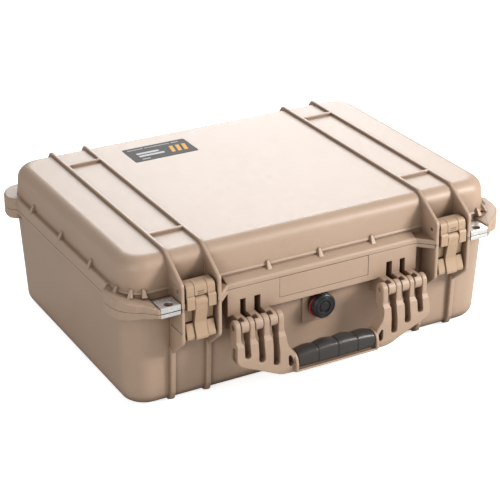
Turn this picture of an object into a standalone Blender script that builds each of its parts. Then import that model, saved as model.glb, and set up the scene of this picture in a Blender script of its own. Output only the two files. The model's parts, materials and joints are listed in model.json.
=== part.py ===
"""Hard equipment case: moulded base and lid, foam lining, two toggle latches, a folding handle,
a pressure valve, steel padlock plates and two rear hinges.

Frame: origin on the floor under the middle of the case, +Z up, the latches and the handle face -Y.
Heights of the closing parts are counted from the parting plane, where the lid meets the base.
"""

from math import cos, pi, radians, sin

import bmesh
import bpy
from mathutils import Matrix, Vector

MM = 0.001

# ---- driving dimensions ----
GAP = 0.3 * MM                   # clearance between neighbouring pieces
PART_Z = 130 * MM                # height of the parting plane
WALL = 4.5 * MM                  # shell thickness
TOP_Z = PART_Z + 51 * MM         # lid's flat top
RIB_TOP_Z = PART_Z + 54.5 * MM   # top of the lid's ribs
FLOOR_Z = 0.0                    # underside of the base

BODY_X = 238.5 * MM              # half length of the body at the parting plane
BODY_Y = 167.5 * MM              # half width of the body at the parting plane
DRAFT_BASE = 5.5 * MM            # how far the base narrows on each side towards the floor
DRAFT_LID = 3.5 * MM             # how far the lid narrows on each side towards its top
CORNER_R = 28 * MM               # upright corner radius
FLANGE_X = 243 * MM              # flange half length along the sides
EAR_RISE = 14 * MM               # ears' height over the parting plane, and depth under it
EAR_DEPTH = 12 * MM
FASCIA_Y = 180 * MM              # front band between the handle mounts
FRONT_Y = 196.5 * MM             # front edges of the fins and the corner flange
BACK_Y = 178.5 * MM              # back edge of the flange
FASCIA_X = 123 * MM              # half length of the front band
FASCIA_DZ = -33 * MM             # lower edge of the front band

INNER_RIB_X = 140.45 * MM        # rib and fin positions each side of the middle
OUTER_RIB_X = 184.55 * MM
RIB_T = 4.6 * MM                 # rib thickness
SKID_T = 6.5 * MM                # skid rib thickness
CROSS_RIB_Y = 111 * MM

LATCH_X = (INNER_RIB_X + OUTER_RIB_X) / 2
LATCH_HALF = 17.4 * MM           # half width of a latch
LEVER_HALF = 7.3 * MM            # half width of the lever's neck
LATCH_PIN = (-187 * MM, 17 * MM, 2.0 * MM)     # y, height over the parting plane, radius
LEVER_PIN = (-190.2 * MM, 3.5 * MM, 1.6 * MM)
BARREL_R = 7.2 * MM              # lever's barrel round its pin
CATCH_BAR = (-180 * MM, -27 * MM, 3.5 * MM)
POCKET_Y = 171 * MM              # back wall of the latch pocket

HANDLE_Y = -194.4 * MM           # handle's turning axis
HANDLE_DZ = -39 * MM
HANDLE_R = 8 * MM                # prong end radius, half the frame's thickness
FRAME_Y = -200.6 * MM            # middle of the lower frame, which stands further out than the prongs
HANDLE_PIN_R = 2.5 * MM
LUG_R = 8.5 * MM
LUG_X = [77.1 * MM, 95.3 * MM, 112.7 * MM]     # lug centres each side of the middle
LUG_T = 9.6 * MM
PRONG_SLOT = 10.6 * MM           # room between prongs for a lug
SLOT_W = 7.6 * MM                # lower, narrower part of each slot
SLOT_BOTTOM_DZ = [-91.5 * MM, -83 * MM, -74 * MM]

HINGE_Y = 187 * MM               # lid's turning axis, at the parting plane
HINGE_R = 6 * MM
HINGE_PIN_R = 2.2 * MM

VALVE_DZ = -50 * MM
VALVE_R = 15.5 * MM

PLATE_X = (187.2 * MM, 212 * MM)  # steel padlock plates, from the outer fin to the ear
LOCK_HOLE = (198.7 * MM, -189.6 * MM, 5.4 * MM)
PLATE_T = 1.6 * MM
LOCK_FLANGE_LID = 5.1 * MM       # flange thickness under each plate
LOCK_FLANGE_BASE = 3.6 * MM

PIN_SLACK = 0.1 * MM             # radial room round every pin
ROUND = 24                       # sides of a small cylinder

SEAL_X = 237.6 * MM              # seal's centre line
SEAL_Y = 167.1 * MM
SEAL_R = 1.6 * MM
GROOVE_HALF = 2.1 * MM
GROOVE_DEPTH = 5.6 * MM
TONGUE_HALF = 1.0 * MM
TONGUE_H = 1.9 * MM

CAVITY_X = 150 * MM              # plucked space in the foam
CAVITY_Y = 92 * MM
PAD_T = 12 * MM
FOAM_TOP_Z = PART_Z - 3 * MM
FOAM_X = 224 * MM                # half length of the foam
FOAM_Y = 157.5 * MM
LID_FOAM_T = 34 * MM

LABEL = (-105.5 * MM, -21.5 * MM, 84.5 * MM, 128 * MM)   # x and y limits
NAME_X = 58 * MM
NAME_DZ = -25 * MM               # lower edge of the name plate; it reaches up to the parting plane

TAN = (0.52, 0.40, 0.30, 1)
TAN_DARK = (0.47, 0.36, 0.27, 1)
BLACK = (0.02, 0.02, 0.022, 1)
FOAM = (0.045, 0.045, 0.05, 1)
STEEL = (0.75, 0.75, 0.74, 1)
RED = (0.55, 0.03, 0.05, 1)

TOP_FACING = Matrix.Identity(3)
SIDE_FACING = Matrix(((0, 0, 1), (1, 0, 0), (0, 1, 0)))     # outline in Y and Z, thickness along X
FRONT_FACING = Matrix(((1, 0, 0), (0, 0, -1), (0, 1, 0)))   # outline in X and Z, thickness along Y


# ---- scene and collections ----
def clear_scene():
    for old in list(bpy.data.objects):
        bpy.data.objects.remove(old)


def new_collection(name):
    made = bpy.data.collections.new(name)
    bpy.context.scene.collection.children.link(made)
    return made


clear_scene()
PARTS = new_collection("equipment_case")
TOOLS = new_collection("tools")


def paint(obj, colour, roughness, metallic=0.0):
    made = bpy.data.materials.new(obj.name)
    made.use_nodes = True
    shader = made.node_tree.nodes["Principled BSDF"]
    shader.inputs["Base Color"].default_value = colour
    shader.inputs["Roughness"].default_value = roughness
    shader.inputs["Metallic"].default_value = metallic
    obj.data.materials.clear()
    obj.data.materials.append(made)


def add_object(name, mesh, tool=True):
    made = bpy.data.objects.new(name, mesh)
    if tool:
        TOOLS.objects.link(made)
        made.hide_render = True
        made.display_type = "WIRE"
    else:
        PARTS.objects.link(made)
    return made


def as_part(obj, colour, roughness, metallic=0.0):
    """Moves a finished piece from the tools to the parts and gives it its material."""
    TOOLS.objects.unlink(obj)
    PARTS.objects.link(obj)
    obj.hide_render = False
    obj.display_type = "TEXTURED"
    paint(obj, colour, roughness, metallic)
    return obj


def set_origin(obj, point):
    """Moves the object's origin, not its shape, to a point on its turning axis."""
    obj.data.transform(Matrix.Translation(-Vector(point)))
    obj.location = Vector(point)


# ---- outlines and solids ----
def arc(centre_u, centre_v, radius, start, end, steps):
    """Points on an arc, angles in degrees."""
    angles = [radians(start + (end - start) * i / steps) for i in range(steps + 1)]
    return [(centre_u + radius * cos(a), centre_v + radius * sin(a)) for a in angles]


def rounded_rectangle(half_u, half_v, radius, steps=6):
    points = []
    for side_u, side_v, start in ((1, 1, 0), (-1, 1, 90), (-1, -1, 180), (1, -1, 270)):
        points += arc(side_u * (half_u - radius), side_v * (half_v - radius), radius,
                      start, start + 90, steps)
    return points


def shifted(outline, du, dv):
    return [(u + du, v + dv) for u, v in outline]


def mirrored(outline):
    """The outline's own half followed by the half reflected across u = 0."""
    return outline + [(-u, v) for u, v in reversed(outline)]


def plate(name, outlines, low, high, facing=TOP_FACING):
    """A flat outline, with any holes after the first, given a thickness from low to high."""
    curve = bpy.data.curves.new(name, "CURVE")
    curve.dimensions = "2D"
    curve.fill_mode = "BOTH"
    curve.extrude = (high - low) / 2
    for outline in outlines:
        spline = curve.splines.new("POLY")
        spline.points.add(len(outline) - 1)
        for point, (u, v) in zip(spline.points, outline):
            point.co = (u, v, 0, 1)
        spline.use_cyclic_u = True
    guide = bpy.data.objects.new(name + "_outline", curve)
    TOOLS.objects.link(guide)
    middle = (low + high) / 2
    normal = facing @ Vector((0, 0, 1))
    along = -1 if min(normal) < 0 else 1
    bpy.context.view_layer.update()
    evaluated = guide.evaluated_get(bpy.context.evaluated_depsgraph_get())
    mesh = bpy.data.meshes.new_from_object(evaluated)
    mesh.name = name
    bpy.data.objects.remove(guide)
    shape = bmesh.new()
    shape.from_mesh(mesh)
    bmesh.ops.remove_doubles(shape, verts=shape.verts, dist=0.00001)
    bmesh.ops.recalc_face_normals(shape, faces=shape.faces)
    bmesh.ops.transform(shape, matrix=facing.to_4x4(), verts=shape.verts)
    bmesh.ops.translate(shape, vec=normal * middle * along, verts=shape.verts)
    shape.to_mesh(mesh)
    shape.free()
    return add_object(name, mesh)


def finish_bmesh(name, shape):
    mesh = bpy.data.meshes.new(name)
    bmesh.ops.recalc_face_normals(shape, faces=shape.faces)
    shape.to_mesh(mesh)
    shape.free()
    return add_object(name, mesh)


def box(name, low, high, bevel=0.0, steps=2):
    shape = bmesh.new()
    bmesh.ops.create_cube(shape, size=1)
    size = Vector(high) - Vector(low)
    middle = (Vector(high) + Vector(low)) / 2
    bmesh.ops.scale(shape, vec=size, verts=shape.verts)
    bmesh.ops.translate(shape, vec=middle, verts=shape.verts)
    if bevel:
        bmesh.ops.bevel(shape, geom=shape.edges[:], offset=bevel, segments=steps, profile=0.5,
                        affect="EDGES")
    return finish_bmesh(name, shape)


def cylinder(name, radius, length, centre, axis, sides=ROUND):
    """A cylinder centred on a point, lying along X, Y or Z."""
    shape = bmesh.new()
    bmesh.ops.create_cone(shape, cap_ends=True, segments=sides, radius1=radius, radius2=radius,
                          depth=length)
    turn = {"X": Matrix.Rotation(pi / 2, 4, "Y"), "Y": Matrix.Rotation(pi / 2, 4, "X"),
            "Z": Matrix.Identity(4)}[axis]
    bmesh.ops.transform(shape, matrix=turn, verts=shape.verts)
    bmesh.ops.translate(shape, vec=Vector(centre), verts=shape.verts)
    return finish_bmesh(name, shape)


def drafted_block(name, half_low, half_high, low, high, corner, edge, edge_at_top, edge_steps=4):
    """A block whose sides lean by the draft, with round upright corners and one round end."""
    shape = bmesh.new()
    bmesh.ops.create_cube(shape, size=2)
    for vert in shape.verts:
        half = half_high if vert.co.z > 0 else half_low
        vert.co = Vector((vert.co.x * half[0], vert.co.y * half[1],
                          high if vert.co.z > 0 else low))
    upright = [e for e in shape.edges if abs(e.verts[0].co.z - e.verts[1].co.z) > 0.001]
    bmesh.ops.bevel(shape, geom=upright, offset=corner, segments=6, profile=0.5, affect="EDGES")
    end_z = high if edge_at_top else low
    rim = [e for e in shape.edges
           if all(abs(v.co.z - end_z) < 0.0001 for v in e.verts) and len(e.link_faces) == 2]
    bmesh.ops.bevel(shape, geom=rim, offset=edge, segments=edge_steps, profile=0.5,
                    affect="EDGES")
    return finish_bmesh(name, shape)


def turned(name, profile, centre, facing, steps=32):
    """A profile of (radius, distance along the axis) points, turned about the axis."""
    mesh = bpy.data.meshes.new(name)
    points = [(r, 0, h) for r, h in profile]
    edges = [(i, i + 1) for i in range(len(points) - 1)]
    mesh.from_pydata(points, edges, [])
    made = add_object(name, mesh)
    screw = made.modifiers.new("turn", "SCREW")
    screw.axis = "Z"
    screw.steps = steps
    screw.render_steps = steps
    screw.use_merge_vertices = True
    screw.merge_threshold = 0.00001
    made.matrix_world = Matrix.Translation(Vector(centre)) @ facing.to_4x4()
    return made


def boolean(target, tool, operation):
    step = target.modifiers.new(tool.name, "BOOLEAN")
    step.operation = operation
    step.solver = "EXACT"
    step.object = tool


def join(target, tools):
    for tool in tools:
        boolean(target, tool, "UNION")


def cut(target, tools):
    for tool in tools:
        boolean(target, tool, "DIFFERENCE")


def both_sides(maker):
    """Calls maker for the left (-1) and the right (+1) side."""
    return [maker(side, word) for side, word in ((-1, "left"), (1, "right"))]


def at_part(outline):
    """An outline given in millimetres, heights counted from the parting plane."""
    return [(u * MM, v * MM + PART_Z) for u, v in outline]


# ---- flange outlines, right half from the front middle to the back middle ----
def ear_front():
    return [(u * MM, v * MM) for u, v in
            [(213, -196.2), (225, -184), (232, -180.5), (240, -174), (246.5, -165.5),
             (250, -154), (251, -140), (250.5, -136), (243, -127)]]


def ear_back():
    return [(u * MM, v * MM) for u, v in
            [(243, 132), (250.5, 141), (251, 150), (249, 160), (243, 170), (235, 176.5),
             (228, 178.5)]]


def flange_outline():
    half = [(FASCIA_X, -FASCIA_Y), (139 * MM, -196 * MM)] + ear_front() + ear_back()
    return half + [(-u, v) for u, v in reversed(half)]


def slope_ear(ear, level, rise_x, rise_y):
    """Tilts a front ear's outer face, which thins from the side towards the padlock plate."""
    start = Vector((250 * MM, -136 * MM))
    for vert in ear.data.vertices:
        if abs(vert.co.z - PART_Z - level) < 0.1 * MM:
            vert.co.z += rise_x * (abs(vert.co.x) - start.x) + rise_y * (vert.co.y - start.y)


def ear_outline(side, at_back):
    if at_back:
        inner = [(192 * MM, BACK_Y - 0.2 * MM), (190 * MM, 150 * MM), (215 * MM, 133 * MM)]
        points = ear_back() + inner
    else:
        inner = [(226 * MM, -124 * MM), (212 * MM, -150 * MM)]
        points = ear_front() + inner
    return [(side * u, v) for u, v in points]


# ---- shared side views of the fins, in millimetres over the parting plane ----
def lid_fin_outline():
    return at_part([(-196.5, -4), (-196.5, 25.5), (-195, 28.5), (-156, 53.4), (-152, 54.5),
                    (157, 54.5), (161, 53.4), (176.5, 34), (178.3, 30), (178.3, -4)])


def base_fin_outline():
    front = [(-150, 4), (-196.5, 4), (-196.5, -40), (-195.2, -43.6), (-192, -46.5), (-166, -69),
             (-150, -69)]
    back = [(150, -69), (164, -69), (177, -50), (178.3, -46), (178.3, 4), (150, 4)]
    return at_part(front), at_part(back)


def skid_outline():
    """Stands proud down the front and the back, and fills the rounded edge below."""
    half = [(-155 * MM, PART_Z - 55 * MM), (-170.6 * MM, PART_Z - 60 * MM),
            (-167.6 * MM, 14 * MM), (-164 * MM, 4 * MM), (-157 * MM, 0.4 * MM)]
    return half + [(-u, v) for u, v in reversed(half)]


# ---- base ----
def handle_mounts():
    """The round-nosed lugs that reach out under the fascia and carry the handle."""
    made = []
    for side in (-1, 1):
        for i, lug_x in enumerate(LUG_X):
            nose = arc(HANDLE_Y, PART_Z + HANDLE_DZ, LUG_R, 90, 270, 8)
            outline = ([(-160 * MM, PART_Z + HANDLE_DZ + LUG_R)] + nose
                       + at_part([(-182, -48.5), (-160, -58)]))
            centre = side * lug_x
            made.append(plate(f"lug_{side}_{i}", [outline], centre - LUG_T / 2,
                              centre + LUG_T / 2, SIDE_FACING))
    return made


def hinge_knuckles(owner, spans, height):
    """Knuckles round the rear axis; height is -1 for the base's arms and +1 for the lid's."""
    made = []
    arm = [(160, 26 * height), (HINGE_Y / MM + 4.1, 4.1 * height), (HINGE_Y / MM - 1, 0),
           (181, height), (160, 2 * height)]
    for side in (-1, 1):
        for i, (inner, outer) in enumerate(spans):
            low, high = sorted((side * inner * MM, side * outer * MM))
            made.append(plate(f"{owner}_knuckle_{side}_{i}", [at_part(arm)], low + 0.1 * MM,
                              high - 0.1 * MM, SIDE_FACING))
            made.append(cylinder(f"{owner}_barrel_{side}_{i}", HINGE_R, high - low,
                                 ((low + high) / 2, HINGE_Y, PART_Z), "X", ROUND))
    return made


def bore(name, centre_x, length, y, dz, radius):
    return cylinder(name, radius + PIN_SLACK, length, (centre_x, y, PART_Z + dz), "X", ROUND)


def make_base_shell():
    low_half = (BODY_X - DRAFT_BASE, BODY_Y - DRAFT_BASE)
    shell = drafted_block("base_shell", low_half, (BODY_X, BODY_Y), FLOOR_Z, PART_Z + 3 * MM,
                          CORNER_R, 14 * MM, False)
    added = [plate("base_flange", [flange_outline()], PART_Z - 5 * MM, PART_Z + 2 * MM)]
    for side in (-1, 1):
        for at_back in (False, True):
            ear = plate(f"base_ear_{side}_{at_back}", [ear_outline(side, at_back)],
                        PART_Z - EAR_DEPTH, PART_Z + 1 * MM)
            if not at_back:
                slope_ear(ear, -EAR_DEPTH, -0.195, 0.012)
            added.append(ear)
        for x in (INNER_RIB_X, OUTER_RIB_X):
            for i, outline in enumerate(base_fin_outline()):
                added.append(plate(f"base_fin_{side}_{x:.3f}_{i}", [outline],
                                   side * x - RIB_T / 2, side * x + RIB_T / 2, SIDE_FACING))
            added.append(plate(f"skid_{side}_{x:.3f}", [skid_outline()],
                               side * x - SKID_T / 2, side * x + SKID_T / 2, SIDE_FACING))
    added.append(box("fascia", (-FASCIA_X, -FASCIA_Y, PART_Z + FASCIA_DZ),
                     (FASCIA_X, -160 * MM, PART_Z + 3 * MM)))
    added += handle_mounts()
    added.append(box("valve_pad", (-21 * MM, -167.5 * MM, PART_Z - 72 * MM),
                     (21 * MM, -155 * MM, PART_Z - 15 * MM)))
    added += hinge_knuckles("base", [(146, 153.7), (171.3, 179)], -1)
    for side in (-1, 1):
        y, dz, radius = CATCH_BAR
        length = OUTER_RIB_X - INNER_RIB_X
        added.append(cylinder(f"catch_bar_{side}", radius, length, (side * LATCH_X, y, PART_Z + dz),
                              "X", 16))
        added.append(box(f"catch_web_{side}",
                         (side * LATCH_X - length / 2, y, PART_Z + dz - 2 * MM),
                         (side * LATCH_X + length / 2, -155 * MM, PART_Z + dz + 2 * MM)))
    join(shell, added)

    removed = [drafted_block("base_cavity", (BODY_X - DRAFT_BASE - WALL, BODY_Y - DRAFT_BASE - WALL),
                             (BODY_X - WALL, BODY_Y - WALL), FLOOR_Z + WALL, PART_Z + 6 * MM,
                             CORNER_R - WALL, 10 * MM, False),
               box("base_trim", (-0.3, -0.3, PART_Z - GAP / 2), (0.3, BACK_Y + 2 * MM, PART_Z + 0.03))]
    for side in (-1, 1):
        x = side * LATCH_X
        half = (OUTER_RIB_X - INNER_RIB_X - RIB_T) / 2
        removed.append(box(f"base_pocket_{side}", (x - half, -0.21, PART_Z - 16 * MM),
                           (x + half, -POCKET_Y, PART_Z + 6 * MM)))
        for inner, outer in ((82.1, 89.9), (100.5, 107.5)):
            low, high = sorted((side * inner * MM, side * outer * MM))
            removed.append(box(f"window_{side}_{inner}", (low, -0.19, PART_Z - 34 * MM),
                               (high, -168.2 * MM, PART_Z - 14.5 * MM)))
        pin_x = side * (LUG_X[0] + LUG_X[2]) / 2
        removed.append(bore(f"lug_bore_{side}", pin_x, 60 * MM, HANDLE_Y, HANDLE_DZ, HANDLE_PIN_R))
        removed.append(bore(f"base_hinge_bore_{side}", x, 60 * MM, HINGE_Y, 0, HINGE_PIN_R))
        low, high = sorted((side * PLATE_X[0] - side * 1 * MM, side * PLATE_X[1] + side * 1 * MM))
        removed.append(box(f"base_lock_under_{side}", (low, -0.21, PART_Z - 0.03),
                           (high, -169 * MM, PART_Z - LOCK_FLANGE_BASE)))
        removed.append(box(f"base_lock_front_{side}", (low, -0.21, PART_Z - 0.03),
                           (high, -FRONT_Y + PLATE_T + 2 * GAP, PART_Z + 0.01)))
        removed.append(cylinder(f"base_lock_hole_{side}", LOCK_HOLE[2], 60 * MM,
                                (side * LOCK_HOLE[0], LOCK_HOLE[1], PART_Z), "Z", ROUND))
    removed.append(cylinder("valve_hole", 8 * MM, 60 * MM, (0, -160 * MM, PART_Z + VALVE_DZ), "Y", 32))
    removed.append(box("name_recess", (-NAME_X, -0.19, PART_Z + NAME_DZ),
                       (NAME_X, -FASCIA_Y + 1.8 * MM, PART_Z + 5 * MM)))
    cut(shell, removed)
    tongue = plate("tongue", [rounded_rectangle(SEAL_X + TONGUE_HALF, SEAL_Y + TONGUE_HALF, 31 * MM),
                              rounded_rectangle(SEAL_X - TONGUE_HALF, SEAL_Y - TONGUE_HALF, 29 * MM)],
                   PART_Z - 1 * MM, PART_Z - GAP / 2 + TONGUE_H)
    join(shell, [tongue])
    return as_part(shell, TAN, 0.55)


# ---- lid ----
def make_lid_shell():
    low = PART_Z - 3 * MM
    top_half = (BODY_X - DRAFT_LID, BODY_Y - DRAFT_LID)
    shell = drafted_block("lid_shell", (BODY_X, BODY_Y), top_half, low, TOP_Z, CORNER_R, 14 * MM, True)
    added = [plate("lid_flange", [flange_outline()], PART_Z - 2 * MM, PART_Z + 6 * MM)]
    side_band = [(222 * MM, -129 * MM), (FLANGE_X - 0.1 * MM, -129 * MM),
                 (FLANGE_X - 0.1 * MM, 134 * MM), (222 * MM, 134 * MM)]
    for side in (-1, 1):
        added.append(plate(f"side_band_{side}", [[(side * u, v) for u, v in side_band]],
                           PART_Z - 1.5 * MM, PART_Z + 15 * MM))
        for at_back in (False, True):
            ear = plate(f"lid_ear_{side}_{at_back}", [ear_outline(side, at_back)],
                        PART_Z - 1 * MM, PART_Z + EAR_RISE)
            if not at_back:
                slope_ear(ear, EAR_RISE, 0.107, 0.051)
            added.append(ear)
        for x in (INNER_RIB_X, OUTER_RIB_X):
            added.append(plate(f"lid_fin_{side}_{x:.3f}", [lid_fin_outline()],
                               side * x - RIB_T / 2, side * x + RIB_T / 2, SIDE_FACING))
        for y in (-CROSS_RIB_Y, CROSS_RIB_Y):
            x = side * LATCH_X
            half = (OUTER_RIB_X - INNER_RIB_X) / 2
            added.append(box(f"cross_rib_{side}_{y:.3f}", (x - half, y - RIB_T / 2, TOP_Z - 2 * MM),
                             (x + half, y + RIB_T / 2, RIB_TOP_Z - 0.2 * MM)))
    front = at_part([(-160, -2.5), (-FASCIA_Y / MM - 0.1, -2.5), (-FASCIA_Y / MM - 0.1, 3.5),
                     (-178.5, 6.5), (-167.5, 11), (-160, 11)])
    back = at_part([(160, -2.5), (BACK_Y / MM - 0.1, -2.5), (BACK_Y / MM - 0.1, 8), (167, 12), (160, 12)])
    added.append(plate("lid_front_band", [front], -FASCIA_X, FASCIA_X, SIDE_FACING))
    added.append(plate("lid_back_band", [back], -200 * MM, 200 * MM, SIDE_FACING))
    added += hinge_knuckles("lid", [(154.1, 170.9)], 1)
    join(shell, added)

    removed = [drafted_block("lid_cavity", (BODY_X - WALL, BODY_Y - WALL),
                             (BODY_X - DRAFT_LID - WALL, BODY_Y - DRAFT_LID - WALL),
                             PART_Z - 6 * MM, TOP_Z - WALL, CORNER_R - WALL, 10 * MM, True),
               box("lid_trim", (-0.3, -0.3, PART_Z - 0.03), (0.3, BACK_Y + 2 * MM, PART_Z + GAP / 2)),
               plate("seal_groove",
                     [rounded_rectangle(SEAL_X + GROOVE_HALF, SEAL_Y + GROOVE_HALF, 32.1 * MM),
                      rounded_rectangle(SEAL_X - GROOVE_HALF, SEAL_Y - GROOVE_HALF, 27.9 * MM)],
                     PART_Z - 3 * MM, PART_Z + GROOVE_DEPTH)]
    for side in (-1, 1):
        x = side * LATCH_X
        half = (OUTER_RIB_X - INNER_RIB_X - RIB_T) / 2
        removed.append(box(f"lid_pocket_{side}", (x - half, -0.21, PART_Z - 6 * MM),
                           (x + half, -POCKET_Y, PART_Z + 30 * MM)))
        removed.append(bore(f"latch_bore_{side}", x, 80 * MM, LATCH_PIN[0], LATCH_PIN[1], LATCH_PIN[2]))
        removed.append(bore(f"lid_hinge_bore_{side}", x, 60 * MM, HINGE_Y, 0, HINGE_PIN_R))
        low_x, high_x = sorted((side * PLATE_X[0] - side * 1 * MM, side * PLATE_X[1] + side * 1 * MM))
        removed.append(box(f"lid_lock_over_{side}", (low_x, -0.21, PART_Z + LOCK_FLANGE_LID),
                           (high_x, -169 * MM, PART_Z + 24 * MM)))
        removed.append(box(f"lid_lock_front_{side}", (low_x, -0.21, PART_Z - 0.01),
                           (high_x, -FRONT_Y + PLATE_T + 2 * GAP, PART_Z + 24 * MM)))
        removed.append(cylinder(f"lid_lock_hole_{side}", LOCK_HOLE[2], 60 * MM,
                                (side * LOCK_HOLE[0], LOCK_HOLE[1], PART_Z), "Z", ROUND))
    removed.append(box("label_recess", (LABEL[0] - GAP, LABEL[2] - GAP, TOP_Z - 0.9 * MM),
                       (LABEL[1] + GAP, LABEL[3] + GAP, TOP_Z + 5 * MM)))
    cut(shell, removed)
    return as_part(shell, TAN, 0.55)


def make_rim_seal():
    """Round cord laid in the lid's groove, above the base's tongue."""
    curve = bpy.data.curves.new("rim_seal", "CURVE")
    curve.dimensions = "3D"
    spline = curve.splines.new("POLY")
    path = rounded_rectangle(SEAL_X, SEAL_Y, 30 * MM, 5)
    spline.points.add(len(path) - 1)
    for point, (x, y) in zip(spline.points, path):
        point.co = (x, y, 0, 1)
    spline.use_cyclic_u = True
    curve.bevel_depth = SEAL_R
    curve.bevel_resolution = 1
    curve.use_fill_caps = False
    seal = bpy.data.objects.new("rim_seal", curve)
    TOOLS.objects.link(seal)
    seal.location = (0, 0, PART_Z - GAP / 2 + TONGUE_H + GAP + SEAL_R)
    seal.hide_render = True
    seal.display_type = "WIRE"
    return as_part(seal, BLACK, 0.6)


# ---- foam ----
def make_foam():
    floor = FLOOR_Z + WALL + GAP
    pad = plate("floor_pad", [rounded_rectangle(FOAM_X - 10 * MM, FOAM_Y - 10 * MM, 18 * MM)], floor,
                floor + PAD_T)
    as_part(pad, FOAM, 0.95)
    block = plate("foam_block", [rounded_rectangle(FOAM_X, FOAM_Y, 25 * MM),
                                 rounded_rectangle(CAVITY_X, CAVITY_Y, 0.5 * MM, 1)],
                  floor + PAD_T + GAP, FOAM_TOP_Z)
    cut(block, [box("valve_notch", (-15 * MM, -0.17, PART_Z + VALVE_DZ - 15 * MM),
                    (15 * MM, -145 * MM, PART_Z + 0.01))])
    as_part(block, FOAM, 0.95)
    lid_top = TOP_Z - WALL - GAP
    lid_foam = drafted_block("lid_foam", (FOAM_X, FOAM_Y), (FOAM_X - 3 * MM, FOAM_Y - 3 * MM),
                             lid_top - LID_FOAM_T, lid_top, CORNER_R - 5 * MM, 16 * MM, True, 3)
    as_part(lid_foam, FOAM, 0.95)


# ---- latches ----
def make_latch(side, word):
    x = side * LATCH_X
    block = at_part([(-176, 14), (-178, 11.6), (-194.2, 11.6), (-195.2, 13), (-195, 19),
                     (-193.8, 23), (-190.5, 25), (-179, 25), (-176, 22)])
    clamp = plate(f"latch_clamp_{word}", [block], x - LATCH_HALF, x + LATCH_HALF, SIDE_FACING)
    arm = at_part([(-184, 14), (-184, -19), (-185, -21.5), (-187.9, -21.5), (-188.4, -20.5),
                   (-190.6, -4.8), (-197, -3.6), (-197.4, -3), (-197.4, 9.6), (-196, 11.9),
                   (-194.6, 12.6), (-194.4, 14)])
    arms = [plate(f"latch_arm_{word}_{i}", [arm], x + low, x + high, SIDE_FACING)
            for i, (low, high) in enumerate(((-LATCH_HALF, -LEVER_HALF - 0.5 * MM),
                                             (LEVER_HALF + 0.5 * MM, LATCH_HALF)))]
    join(clamp, arms)
    cut(clamp, [bore(f"clamp_bore_{word}", x, 60 * MM, *LATCH_PIN),
                bore(f"arm_bore_{word}", x, 60 * MM, *LEVER_PIN)])
    as_part(clamp, TAN_DARK, 0.5)
    set_origin(clamp, (x, LATCH_PIN[0], PART_Z + LATCH_PIN[1]))

    neck = at_part([(-196.9, 2), (-196.5, -4), (-192.7, -22), (-193.4, -26), (-197.6, -37.6),
                    (-197, -40.6), (-194.5, -41.5), (-189, -39.5), (-185.8, -33), (-185, -26),
                    (-184.2, -4), (-184.9, 4)])
    lever = plate(f"latch_lever_{word}", [neck], x - LEVER_HALF, x + LEVER_HALF, SIDE_FACING)
    lip = at_part([(-186, -22.3), (-190.5, -22.3), (-191.2, -25), (-195.6, -37), (-195.2, -40),
                   (-193, -41.2), (-189.2, -39.3), (-186.2, -33)])
    claw = at_part([(-190, -20), (-188, -20), (-184.4, -23), (-184.4, -30.5), (-186.5, -32),
                    (-190, -31)])
    y, dz, radius = LEVER_PIN
    barrel = cylinder(f"lever_barrel_{word}", BARREL_R, 2 * LEVER_HALF - 0.02 * MM,
                      (x, y, PART_Z + dz), "X", ROUND)
    join(lever, [barrel,
                 plate(f"lever_lip_{word}", [lip], x - LATCH_HALF, x + LATCH_HALF, SIDE_FACING),
                 plate(f"lever_claw_{word}", [claw], x - 7 * MM, x + 7 * MM, SIDE_FACING)])
    cut(lever, [bore(f"lever_bore_{word}", x, 60 * MM, *LEVER_PIN)])
    as_part(lever, TAN_DARK, 0.5)
    set_origin(lever, (x, y, PART_Z + dz))

    latch_pin = cylinder(f"latch_pin_{word}", LATCH_PIN[2], 46 * MM,
                         (x, LATCH_PIN[0], PART_Z + LATCH_PIN[1]), "X", ROUND)
    as_part(latch_pin, STEEL, 0.3, 1.0)
    lever_pin = cylinder(f"lever_pin_{word}", radius, 34 * MM, (x, y, PART_Z + dz), "X", ROUND)
    as_part(lever_pin, STEEL, 0.3, 1.0)


# ---- handle ----
def handle_outline():
    half = [(u * MM, v * MM + PART_Z) for u, v in
            [(0, -107.3), (50, -107), (68, -105.8), (74, -104), (92, -95.5), (116, -85), (123, -81.5),
             (126.4, -76.5), (126, -70), (124.8, -60), (124.6, -29), (64.4, -29), (63.6, -66),
             (61, -73), (57, -78), (53.5, -84), (51.5, -89), (0, -89)]]
    return half + [(-u, v) for u, v in reversed(half[1:-1])]


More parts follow.
